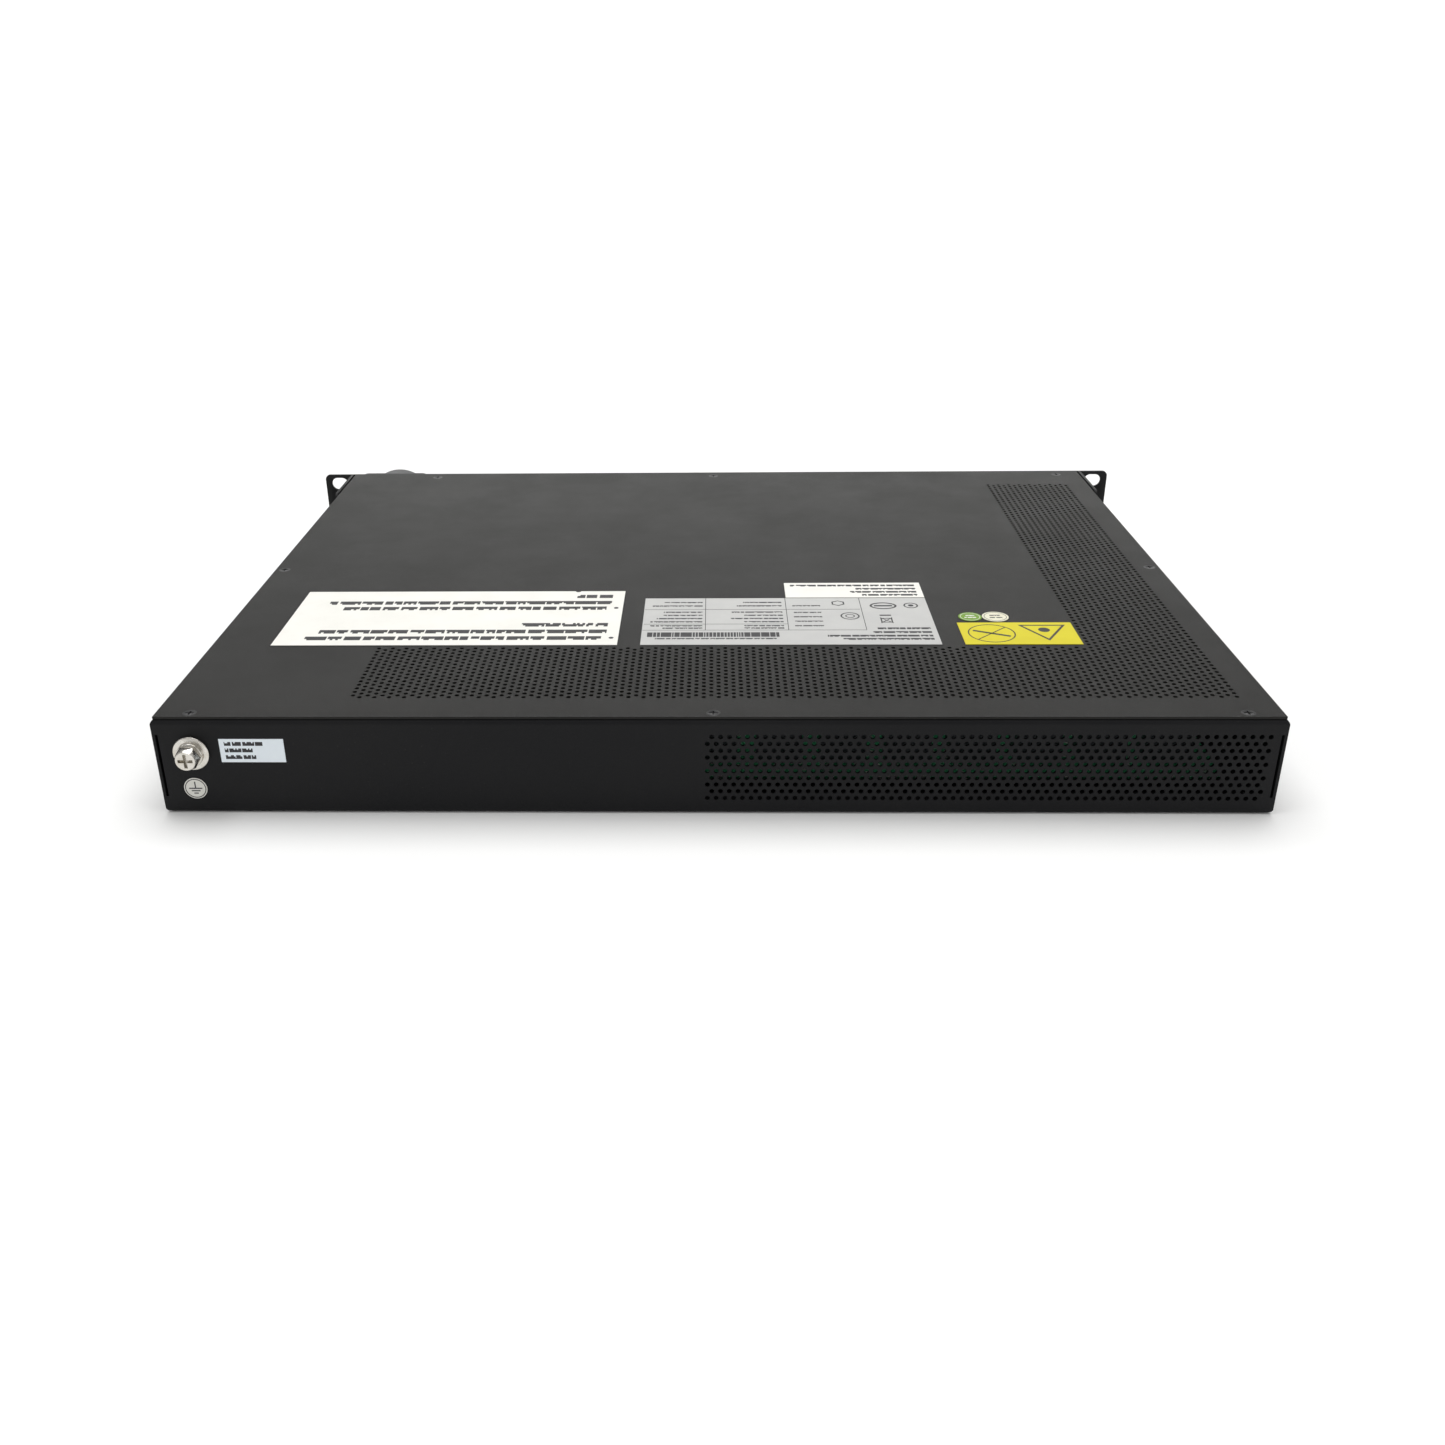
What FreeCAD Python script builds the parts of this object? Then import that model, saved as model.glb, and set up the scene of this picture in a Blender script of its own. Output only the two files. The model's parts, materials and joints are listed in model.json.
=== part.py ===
import FreeCAD, Part
import math
import os
import re
import Sketcher

# A rack power distribution unit, one rack unit high, built as separate pieces.
# +Z is up, +X is to the right seen from the front, and the front faces -Y.
# The origin is the centre of the four ear slots, on the back faces of the ears.

Vector = FreeCAD.Vector
Rotation = FreeCAD.Rotation
doc = FreeCAD.newDocument("PowerUnit")
sheet = doc.addObject("Spreadsheet::Sheet", "Dims")
nodes = []

DIMENSIONS = {
    # folded case
    "body_width": 447,
    "body_depth": 350,
    "body_height": 43,
    "tray_wall": 1.2,
    "cover_wall": 1,
    "panel_wall": 1.5,
    "bend_radius": 2.4,
    "flange_width": 12,
    "flange_gap": 0.7,
    "cover_inset": 1.2,
    "cover_gap": 0.8,
    "corner_slit": 1.1,
    "slit_margin": 7.6,
    # round vents in staggered rows
    "vent_radius": 1,
    "vent_pitch": 3.512,
    "cover_vent_pitch": 7.024,
    "vent_back_margin": 19.3,
    "vent_side_margin": 14.5,
    "vent_far_margin": 76.4,
    "vent_front_margin": 29.5,
    "vent_band_depth": 52,
    "vent_band_width": 46.5,
    "wall_vent_margin": 6.4,
    "wall_vent_top": 8.4,
    "wall_vent_bottom": 6.5,
    "wall_vent_past_middle": 2.9,
    # rack ears
    "ear_reach": 17.8,
    "ear_wall": 1.5,
    "ear_leg": 42,
    "ear_corner": 3,
    "slot_inset": 8.75,
    "slot_rise": 31.75,
    "slot_long": 10,
    "slot_radius": 3.7,
    # screws and nuts of the case
    "screw_radius": 1.5,
    "head_radius": 2.85,
    "screw_depth": 5,
    "nut_radius": 2.05,
    "nut_depth": 2.4,
    "hole_gap": 0.2,
    "back_screw_margin": 4.5,
    "side_screw_margin": 5.9,
    "side_screw_back": 173.5,
    "front_screw_margin": 6.5,
    "corner_screw_margin": 15,
    "inlet_screw_margin": 53.8,
    # ground stud on the back wall
    "stud_radius": 3,
    "stud_margin": 15.0,
    "stud_rise": 6.2,
    "stud_washer_radius": 7.25,
    "stud_washer_depth": 1.6,
    "spring_washer_radius": 5.2,
    "spring_washer_depth": 1.8,
    "stud_head_flat": 9,
    "stud_head_depth": 4.8,
    "stud_nut_flat": 10,
    "stud_nut_depth": 5,
    "stud_long": 24,
    "stud_cross_wide": 1.3,
    "stud_cross_long": 6,
    "stud_cross_deep": 2.2,
    "lug_depth": 1.2,
    "lug_radius": 6,
    "lug_tongue_wide": 5,
    "lug_tongue_long": 14,
    # labels
    "label_depth": 0.2,
    "label_back_margin": 73.6,
    "label_row_gap": 10.2,
    "warning_margin": 27.5,
    "warning_width": 153.6,
    "warning_height": 67.2,
    "warning_notch": 1.3,
    "notch_inset": 22.7,
    "rating_width": 132.2,
    "rating_height": 57.1,
    "address_width": 65.6,
    "address_height": 20,
    "address_gap": 0.8,
    "shock_width": 51,
    "shock_height": 25.5,
    "dot_back_margin": 106.4,
    "green_radius": 5.3,
    "cream_radius": 6.0,
    "dot_inset": 7.2,
    "dot_spacing": 11.5,
    "service_width": 26,
    "service_height": 10.3,
    "service_margin": 26.5,
    "service_rise": 7.0,
    "earth_radius": 4.7,
    "earth_margin": 13.9,
    "earth_drop": 10.1,
    # power inlet
    "inlet_margin": 25.0,
    "inlet_flange": 42,
    "inlet_flange_depth": 3,
    "inlet_corner": 4,
    "gasket_depth": 1,
    "inlet_radius": 19.8,
    "inlet_wall": 2.2,
    "inlet_reach": 17,
    "inlet_back_radius": 18.2,
    "inlet_back_depth": 27,
    "insert_depth": 13,
    "blade_radius": 9.5,
    "blade_wall": 1.6,
    "blade_reach": 17,
    "inlet_screw_radius": 1.4,
    "inlet_screw_spacing": 33.6,
    "inlet_key_wide": 3,
    "blade_tail": 4,
    "overshoot": 5,
    # outlets and breakers
    "bank_count": 3,
    "bank_outlets": 4,
    "bank_margin": 51,
    "outlet_width": 20,
    "outlet_height": 28,
    "outlet_depth": 24,
    "bezel_lip": 1.4,
    "bezel_depth": 1.5,
    "bezel_gap": 1.2,
    "outlet_pitch": "=outlet_width + 2 * bezel_lip + bezel_gap",
    "panel_fit": 0.2,
    "groove_width": 17,
    "groove_height": 24.6,
    "groove_wall": 2.6,
    "groove_depth": 16,
    "groove_chamfer": 4,
    "contact_spacing": 14,
    "contact_offset": 3,
    "contact_wide": 4,
    "contact_thick": 1.8,
    "contact_tail": 3,
    "contact_fit": 0.2,
    "contact_start": 6,
    "bar_high": 5,
    "bar_thick": 1,
    "breaker_width": 14.8,
    "breaker_pitch": "=breaker_width + 2 * bezel_lip + bezel_gap",
    "breaker_height": 35,
    "breaker_depth": 22,
    "rocker_width": 10.6,
    "rocker_length": 25,
    "rocker_fit": 0.5,
    "rocker_swing": 1.9,
    "rocker_reach": 3.2,
    "rocker_dip": 1.5,
    "rocker_back": 5,
    "rocker_pin": 1.3,
    "rocker_pin_long": 1.2,
    "rocker_pin_fit": 0.3,
    "rocker_axle_depth": 5,
    "rocker_tilt": 9,
    "cavity_depth": 12,
    # boards and what stands on them
    "board_thick": 1.6,
    "standoff_high": 5,
    "standoff_radius": 2.5,
    "standoff_head": 1.4,
    "board_margin": 6,
    "control_width": 44,
    "control_depth": 110,
    "control_margin": 8,
    "relay_board_depth": 56,
    "relay_board_margin": 17,
    "relay_wide": 19,
    "relay_deep": 15.5,
    "relay_high": 15.5,
    "relay_pitch": 27,
    "relay_count": 12,
    "supply_wide": 30,
    "supply_deep": 42,
    "supply_high": 18,
    "supply_front": 58,
    # network corner of the front panel
    "jack_wide": 16,
    "jack_high": 13.6,
    "jack_deep": 21,
    "jack_mouth_wide": 11.8,
    "jack_mouth_high": 8.2,
    "jack_mouth_deep": 15,
    "jack_key_wide": 6,
    "jack_proud": 0.5,
    "jack_spacing": 18.5,
    "jack_margin": 17,
    "light_radius": 1.4,
    "light_spacing": 6,
    "light_rise": 9,
    "light_margin": 12,
    "light_proud": 0.5,
    "light_deep": 12,
    "button_radius": 1.9,
    "button_fit": 0.3,
    "button_margin": 48,
    "button_proud": 0.9,
    "button_long": 7.2,
    "button_travel": 1.2,
    "switch_side": 6,
    "switch_deep": 9,
    # wiring inside the case
    "lead_radius": 1.8,
    "bank_lead_radius": 1.2,
    "ribbon_wide": 18,
    "ribbon_thick": 0.9,
}


def fill_sheet():
    """Writes every driving dimension into the sheet and gives its cell the name as alias."""
    for row, (name, number) in enumerate(DIMENSIONS.items(), start=1):
        sheet.set("A%d" % row, name)
        sheet.set("B%d" % row, str(number))
        sheet.setAlias("B%d" % row, name)
    doc.recompute()


def size(name):
    """Reads one driving dimension from the sheet."""
    return float(sheet.get(name))


def formula(text):
    """Writes each dimension's name in an expression as the sheet's cell."""
    return re.sub(r"\b[a-z][a-z_]*\b(?!\()", lambda word: "Dims." + word.group(), text)


# Levels that many pieces share, as formulas of the sheet's cells.
BACK = "body_depth - panel_wall"
FLOOR = "tray_wall - body_height / 2"
TOP = "body_height / 2"
LEDGE = "body_height / 2 - cover_wall"
BOARD = "tray_wall - body_height / 2 + standoff_high"
BOARD_TOP = "tray_wall - body_height / 2 + standoff_high + board_thick"
FACE = "0 - panel_wall"
INLET_X = "body_width / 2 - inlet_margin"
STUD_X = "body_width / 2 - stud_margin"
AXES = {
    "x": Rotation(Vector(0, 1, 0), 90),
    "y": Rotation(Vector(1, 0, 0), -90),
    "z": Rotation(),
}


# ---------------------------------------------------------------- helpers
def put(item, place):
    """Binds an object's place to three formulas."""
    for axis, text in zip("xyz", place):
        item.setExpression("Placement.Base." + axis, formula(text))


def block(name, sizes, corner):
    """A box with its lowest corner at a place, every size a formula."""
    item = doc.addObject("Part::Box", name)
    for side, text in zip(("Length", "Width", "Height"), sizes):
        item.setExpression(side, formula(text))
    put(item, corner)
    return item


def rod(name, radius, length, foot, axis="z"):
    """A cylinder that stands on a place and runs along one axis."""
    item = doc.addObject("Part::Cylinder", name)
    item.Placement.Rotation = AXES[axis]
    item.setExpression("Radius", formula(radius))
    item.setExpression("Height", formula(length))
    put(item, foot)
    return item


def together(name, pieces):
    """Several separate solids held as one object."""
    item = doc.addObject("Part::Compound", name)
    item.Links = pieces
    return item


def fused(name, pieces):
    """Several solids made into one."""
    item = doc.addObject("Part::MultiFuse", name)
    item.Shapes = pieces
    return item


def carved(name, base, tool):
    """A piece with another shape cut away."""
    item = doc.addObject("Part::Cut", name)
    item.Base = base
    item.Tool = tool
    return item


def copies(name, template, places):
    """Equal solids, one copy of the template at each place."""
    doc.recompute()
    item = doc.addObject("Part::Feature", name)
    solids = []
    for place in places:
        solid = template.Shape.copy()
        solid.Placement = place.multiply(solid.Placement)
        solids.append(solid)
    item.Shape = Part.makeCompound(solids)
    return item


def at(x, y, z, turn=None):
    """A placement at a point, with a turn when one is given."""
    return FreeCAD.Placement(Vector(x, y, z), turn or Rotation())


def keep(item, label):
    """Makes an object a sub-part of the unit, under the name of its file."""
    item.Label = label
    nodes.append(item)
    return item


def new_body(name, place=("0", "0", "0")):
    """An empty design body at a place given by formulas."""
    body = doc.addObject("PartDesign::Body", name)
    put(body, place)
    return body


def new_sketch(body, role, offset="0"):
    """A sketch on one of the body's own planes, moved along the plane's normal."""
    sketch = body.newObject("Sketcher::SketchObject", body.Name + "_sketch")
    plane = next(item for item in body.Origin.OriginFeatures if item.Role == role)
    sketch.AttachmentSupport = [(plane, "")]
    sketch.MapMode = "FlatFace"
    sketch.setExpression("AttachmentOffset.Base.z", formula(offset))
    return sketch


def tie(sketch, geometry, point, where):
    """Holds one point of a sketch at two formulas measured from the sketch's origin."""
    here = sketch.getPoint(geometry, point)
    for kind, start, text in (("DistanceX", here.x, where[0]), ("DistanceY", here.y, where[1])):
        number = sketch.addConstraint(Sketcher.Constraint(kind, -1, 1, geometry, point, start))
        sketch.setExpression("Constraints[%d]" % number, formula(text))


def draw_outline(sketch, corners):
    """A closed outline of straight lines through corners given as formulas."""
    first = sketch.GeometryCount
    count = len(corners)
    ring = []
    for index in range(count):
        angle = 2 * math.pi * index / count
        ring.append(Vector(20 * math.cos(angle), 20 * math.sin(angle), 0))
    for index in range(count):
        sketch.addGeometry(Part.LineSegment(ring[index], ring[(index + 1) % count]), False)
    for index in range(count):
        after = first + (index + 1) % count
        sketch.addConstraint(Sketcher.Constraint("Coincident", first + index, 2, after, 1))
    for index, corner in enumerate(corners):
        tie(sketch, first + index, 1, corner)


def draw_rectangle(sketch, width, height, centre=("0", "0")):
    """A rectangle about a centre."""
    left = "(%s) - (%s) / 2" % (centre[0], width)
    right = "(%s) + (%s) / 2" % (centre[0], width)
    low = "(%s) - (%s) / 2" % (centre[1], height)
    high = "(%s) + (%s) / 2" % (centre[1], height)
    draw_outline(sketch, [(left, low), (right, low), (right, high), (left, high)])


def add_pad(body, sketch, length, reverse=False):
    """Raises a sketch into a solid."""
    pad = body.newObject("PartDesign::Pad", body.Name + "_pad")
    pad.Profile = sketch
    pad.Reversed = reverse
    pad.setExpression("Length", formula(length))
    doc.recompute()
    return pad


def add_pocket(body, sketch, length, reverse=False):
    """Cuts a sketch into the body, and makes sure that it did."""
    before = body.Shape.Volume
    pocket = body.newObject("PartDesign::Pocket", body.Name + "_pocket")
    pocket.Profile = sketch
    pocket.Reversed = reverse
    pocket.setExpression("Length", formula(length))
    doc.recompute()
    if body.Shape.Volume >= before - 1e-6:
        raise RuntimeError(body.Name + ": a pocket cuts nothing")
    return pocket


def add_fillet(body, radius, wanted):
    """Rounds the edges of the body's last feature that a test picks."""
    base = body.Tip
    names = []
    for index, edge in enumerate(base.Shape.Edges, start=1):
        if wanted(edge):
            names.append("Edge%d" % index)
    fillet = body.newObject("PartDesign::Fillet", body.Name + "_fillet")
    fillet.Base = (base, names)
    fillet.setExpression("Radius", formula(radius))
    doc.recompute()
    return fillet


def runs_along(edge, direction):
    """True when an edge is straight and lies along a direction."""
    if edge.Curve.TypeId != "Part::GeomLine":
        return False
    return abs(edge.Curve.Direction.dot(direction)) > 0.999


# ---------------------------------------------------------------- case
def stagger(columns, rows, step_along, step_across, wanted=None):
    """Offsets of a staggered field of holes, every second place of a fine grid."""
    field = []
    for column in range(columns):
        for row in range(rows):
            if (column + row) % 2 == 0 and (wanted is None or wanted(column, row)):
                field.append((column * step_along, row * step_across))
    return field


def cover_vents():
    """Vents of the cover in two bands, every second one of the real field in each direction."""
    across = size("cover_vent_pitch") * math.sqrt(3) / 2
    along = size("cover_vent_pitch") / 2
    width = size("body_width") - size("vent_side_margin") - size("vent_far_margin")
    depth = size("body_depth") - size("vent_back_margin") - size("vent_front_margin")
    band_rows = math.floor(size("vent_band_depth") / along) + 1
    band_columns = math.floor(size("vent_band_width") / across) + 1
    columns = math.floor(width / across) + 1
    rows = math.floor(depth / along) + 1
    left = size("vent_side_margin") - size("body_width") / 2
    back = size("body_depth") - size("panel_wall") - size("vent_back_margin")
    level = size("body_height") / 2 - 2 * size("cover_wall")
    drill = rod("cover_vent_drill", "vent_radius", "3 * cover_wall", ("0", "0", "0"))
    field = stagger(columns, rows, across, along, lambda i, j: j < band_rows or i < band_columns)
    return copies("cover_vent_holes", drill, [at(left + x, back - y, level) for x, y in field])


def wall_vents():
    """The vents of the back wall, in staggered rows on its left half."""
    along = size("vent_pitch") / 2
    down = size("vent_pitch") * math.sqrt(3) / 2
    width = size("body_width") / 2 - size("wall_vent_margin") + size("wall_vent_past_middle")
    height = size("body_height") - size("wall_vent_top") - size("wall_vent_bottom")
    columns = math.floor(width / along) + 1
    rows = math.floor(height / down) + 1
    left = size("wall_vent_margin") - size("body_width") / 2
    high = size("body_height") / 2 - size("wall_vent_top")
    start = size("body_depth") - size("panel_wall") - 2 * size("tray_wall")
    drill = rod("wall_vent_drill", "vent_radius", "3 * tray_wall", ("0", "0", "0"), "y")
    field = stagger(columns, rows, along, down)
    return copies("wall_vent_holes", drill, [at(left + x, start, high - y) for x, y in field])


def ear_screw_places():
    """Where the ears are screwed to the sides: x of the ear's outer face, y, z and a sign."""
    places = []
    outer = size("body_width") / 2 + size("ear_wall")
    for side in (-1, 1):
        for y in (size("ear_leg") * 0.3, size("ear_leg") * 0.8):
            for z in (-size("body_height") / 4, size("body_height") / 4):
                places.append((side * outer, y, z, side))
    return places


def panel_screw_places():
    """Where the panel's lower flange is screwed to the floor."""
    banks = range(int(size("bank_count")) + 1)
    return [(bank_start(bank) - size("outlet_pitch"), size("front_screw_margin")) for bank in banks]


def chassis_tray():
    """Floor, sides, back wall and inward ledges, folded from one sheet."""
    centre = "(body_depth - panel_wall) / 2"
    tray = new_body("tray_shell", ("0", centre, "0 - body_height / 2"))
    outline = new_sketch(tray, "XY_Plane")
    draw_rectangle(outline, "body_width", BACK)
    add_pad(tray, outline, "body_height - cover_wall")
    reach = (size("body_depth") - size("panel_wall")) / 2

    def folded(edge):
        middle = edge.CenterOfMass
        if runs_along(edge, Vector(0, 1, 0)):
            return True
        return runs_along(edge, Vector(1, 0, 0)) and middle.y > reach - 0.01

    add_fillet(tray, "bend_radius", folded)
    solid = tray.Tip
    faces = solid.Shape.Faces
    front = min(range(len(faces)), key=lambda index: faces[index].CenterOfMass.y)
    shell = tray.newObject("PartDesign::Thickness", "tray_thickness")
    shell.Base = (solid, ["Face%d" % (front + 1)])
    shell.Reversed = True
    shell.setExpression("Value", formula("tray_wall"))
    doc.recompute()
    opening = new_sketch(tray, "XY_Plane", "body_height - cover_wall")
    length = "body_depth - panel_wall - flange_width + 1"
    draw_rectangle(opening, "body_width - 2 * flange_width", length, ("0", "0 - (flange_width + 1) / 2"))
    add_pocket(tray, opening, "2 * tray_wall")

    high = "body_height - 2 * slit_margin"
    low = "slit_margin - body_height / 2"
    start = "body_depth - panel_wall - 2 * tray_wall"
    left = "tray_wall - body_width / 2"
    right = "body_width / 2 - tray_wall - corner_slit"
    slits = []
    for name, x in (("left_slit", left), ("right_slit", right)):
        slits.append(block(name, ("corner_slit", "3 * tray_wall", high), (x, start, low)))
    stud = rod("stud_hole", "stud_radius + hole_gap", "3 * tray_wall",
               (STUD_X, start, "stud_rise"), "y")
    drill = rod("ear_screw_drill", "screw_radius", "6 * tray_wall", ("0", "0", "0"), "x")
    holes = []
    for x, y, z, side in ear_screw_places():
        holes.append(at(x - 3 * size("tray_wall"), y, z))
    sides = copies("ear_screw_holes", drill, holes)
    sinks = floor_screw_sinks()
    ledge_drill = rod("ledge_drill", "screw_radius + hole_gap", "4 * tray_wall", ("0", "0", "0"))
    level = size("body_height") / 2 - size("cover_wall") - 3 * size("tray_wall")
    spots = [at(x, y, level) for x, y in cover_screw_places()]
    ledge = copies("ledge_holes", ledge_drill, spots)
    openings = together("tray_openings", [wall_vents()] + slits + [stud, sides, sinks, ledge])
    keep(carved("chassis_tray", tray, openings), "chassis_tray")


def floor_screw_sinks():
    """Conical seats of the panel's screws in the floor."""
    sink = doc.addObject("Part::Cone", "floor_sink")
    sink.setExpression("Radius1", formula("head_radius"))
    sink.setExpression("Radius2", formula("head_radius - tray_wall"))
    sink.setExpression("Height", formula("tray_wall"))
    low = -size("body_height") / 2
    return copies("floor_sinks", sink, [at(x, y, low) for x, y in panel_screw_places()])


def cover_screw_places():
    """Where the cover is screwed down: five on the tray's ledges, three on the front panel."""
    half = size("body_width") / 2
    back = size("body_depth") - size("panel_wall")
    corner = half - size("corner_screw_margin")
    side = half - size("side_screw_margin")
    near = size("front_screw_margin")
    places = [(x, back - size("back_screw_margin")) for x in (-corner, 0, corner)]
    places += [(x, back - size("side_screw_back")) for x in (-side, side)]
    places += [(x, near) for x in (-corner, 0, half - size("inlet_screw_margin"))]
    return places


def top_cover():
    """Flat vented lid that lies on the ledges, with a conical seat for every screw."""
    length = "body_depth - panel_wall - cover_gap"
    plate = new_body("cover_plate", ("0", "(%s) / 2" % length, LEDGE))
    outline = new_sketch(plate, "XY_Plane")
    draw_rectangle(outline, "body_width - 2 * cover_inset", length)
    add_pad(plate, outline, "cover_wall")
    add_fillet(plate, "cover_inset", lambda edge: runs_along(edge, Vector(0, 0, 1)))
    seat = doc.addObject("Part::Cone", "cover_sink")
    seat.setExpression("Radius1", formula("head_radius - cover_wall"))
    seat.setExpression("Radius2", formula("head_radius"))
    seat.setExpression("Height", formula("cover_wall"))
    level = size("body_height") / 2 - size("cover_wall")
    seats = copies("cover_sinks", seat, [at(x, y, level) for x, y in cover_screw_places()])
    openings = together("cover_openings", [cover_vents(), seats])
    keep(carved("top_cover", plate, openings), "top_cover")


def front_panel():
    """Panel with two flanges behind it and a hole for everything that comes through."""
    plate = new_body("panel_plate", ("0", "0", "0"))
    outline = new_sketch(plate, "XZ_Plane")
    draw_rectangle(outline, "body_width", "body_height")
    add_pad(plate, outline, "panel_wall")
    wide = "body_width - 2 * flange_width - 2 * flange_gap"
    for offset in ("body_height / 2 - cover_wall - panel_wall / 2", "%s + panel_wall / 2" % FLOOR):
        flange = new_sketch(plate, "XZ_Plane")
        draw_rectangle(flange, wide, "panel_wall", ("0", offset))
        add_pad(plate, flange, "flange_width", reverse=True)

    through = ("0 - 3 * panel_wall", "6 * panel_wall")
    fit = "2 * panel_fit"
    cuts = []
    outlet = block("outlet_cut", ("outlet_width + " + fit, through[1], "outlet_height + " + fit),
                   ("0 - outlet_width / 2 - panel_fit", through[0], "0 - outlet_height / 2 - panel_fit"))
    breaker = block("breaker_cut", ("breaker_width + " + fit, through[1], "breaker_height + " + fit),
                    ("0 - breaker_width / 2 - panel_fit", through[0], "0 - breaker_height / 2 - panel_fit"))
    cuts.append(copies("outlet_cuts", outlet, [at(x, 0, 0) for x in outlet_centres()]))
    cuts.append(copies("breaker_cuts", breaker, [at(x, 0, 0) for x in breaker_centres()]))
    cuts.append(rod("inlet_cut", "inlet_back_radius + panel_fit", through[1],
                    (INLET_X, through[0], "0"), "y"))
    for name, x in JACKS.items():
        cuts.append(block(name + "_cut", ("jack_wide + " + fit, through[1], "jack_high + panel_fit"),
                          ("%s - jack_wide / 2 - panel_fit" % x, through[0], BOARD_TOP)))
    light = rod("light_drill", "light_radius", through[1], ("0", through[0], "0"), "y")
    cuts.append(copies("light_holes", light, [at(x, 0, z) for x, z in light_centres()]))
    button = ("button_margin - body_width / 2", through[0], "light_rise")
    cuts.append(rod("button_hole", "button_radius + button_fit", through[1], button, "y"))
    screw = rod("inlet_screw_drill", "inlet_screw_radius", through[1], ("0", through[0], "0"), "y")
    cuts.append(copies("inlet_screw_holes", screw, [at(x, 0, z) for x, z in inlet_screw_centres()]))
    holes = rod("flange_drill", "screw_radius + hole_gap", "3 * panel_wall", ("0", "0", "0"))
    high = size("body_height") / 2 - size("cover_wall") - 2 * size("panel_wall")
    low = size("tray_wall") - size("body_height") / 2 - size("panel_wall")
    spots = [at(x, y, high) for x, y in cover_screw_places()[-3:]]
    spots += [at(x, y, low) for x, y in panel_screw_places()]
    cuts.append(copies("flange_holes", holes, spots))
    keep(carved("front_panel", plate, together("panel_openings", cuts)), "front_panel")


def rack_ears():
    """Two bent brackets, each with a slotted face and a leg along the case's side."""
    bracket = new_body("ear_bracket", ("body_width / 2", "0", "0 - body_height / 2"))
    outline = new_sketch(bracket, "XY_Plane")
    draw_outline(outline, [("0", "0 - ear_wall"), ("ear_reach", "0 - ear_wall"), ("ear_reach", "0"),
                           ("ear_wall", "0"), ("ear_wall", "ear_leg"), ("0", "ear_leg")])
    add_pad(bracket, outline, "body_height")
    tip = size("ear_reach")
    leg = size("ear_leg")

    def outer_corner(edge):
        middle = edge.CenterOfMass
        if runs_along(edge, Vector(0, 1, 0)):
            return middle.x > tip - 0.01
        return runs_along(edge, Vector(1, 0, 0)) and middle.y > leg - 0.01

    add_fillet(bracket, "ear_corner", outer_corner)
    slots = []
    for number, z in enumerate(("0 - slot_rise / 2", "slot_rise / 2")):
        middle = "body_width / 2 + ear_reach - slot_inset"
        start = "0 - 2 * ear_wall"
        flat = "slot_long - 2 * slot_radius"
        slot = block("slot_flat_%d" % number, (flat, "4 * ear_wall", "2 * slot_radius"),
                     ("%s - (%s) / 2" % (middle, flat), start, "%s - slot_radius" % z))
        ends = []
        for side in ("-", "+"):
            spot = ("%s %s (%s) / 2" % (middle, side, flat), start, z)
            ends.append(rod("slot_end_%d" % number, "slot_radius", "4 * ear_wall", spot, "y"))
        slots.append(fused("ear_slot_%d" % number, [slot] + ends))
    drill = rod("ear_hole_drill", "screw_radius + hole_gap", "4 * ear_wall", ("0", "0", "0"), "x")
    spots = []
    for x, y, z, side in ear_screw_places():
        if side > 0:
            spots.append(at(x - 2 * size("ear_wall"), y, z))
    holes = copies("ear_holes", drill, spots)
    openings = together("ear_openings", slots + [holes])
    right = keep(carved("rack_ear_right", bracket, openings), "rack_ear_right")
    left = doc.addObject("Part::Mirroring", "rack_ear_left")
    left.Source = right
    left.Normal = Vector(1, 0, 0)
    keep(left, "rack_ear_left")


# ---------------------------------------------------------------- case screws
def cross_recess(name, wide, long, deep, top):
    """The cross that a screwdriver goes into, below a level, as one cutting shape."""
    bars = []
    for number, (length, width) in enumerate(((long, wide), (wide, long))):
        corner = ("0 - (%s) / 2" % length, "0 - (%s) / 2" % width, "%s - %s" % (top, deep))
        bars.append(block("%s_%d" % (name, number), (length, width, "2 * " + deep), corner))
    return fused(name, bars)


def sunk_screw(name, wall, length):
    """A screw whose conical head ends level with z = 0, its thread below."""
    head = doc.addObject("Part::Cone", name + "_head")
    head.setExpression("Radius1", formula("head_radius - " + wall))
    head.setExpression("Radius2", formula("head_radius"))
    head.setExpression("Height", formula(wall))
    put(head, ("0", "0", "0 - " + wall))
    shank = rod(name + "_shank", "screw_radius", length, ("0", "0", "0 - (%s)" % length))
    recess = cross_recess(name + "_recess", "head_radius / 4", "head_radius * 1.2", "(%s * 0.7)" % wall, "0")
    return carved(name, fused(name + "_solid", [head, shank]), recess)


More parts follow.
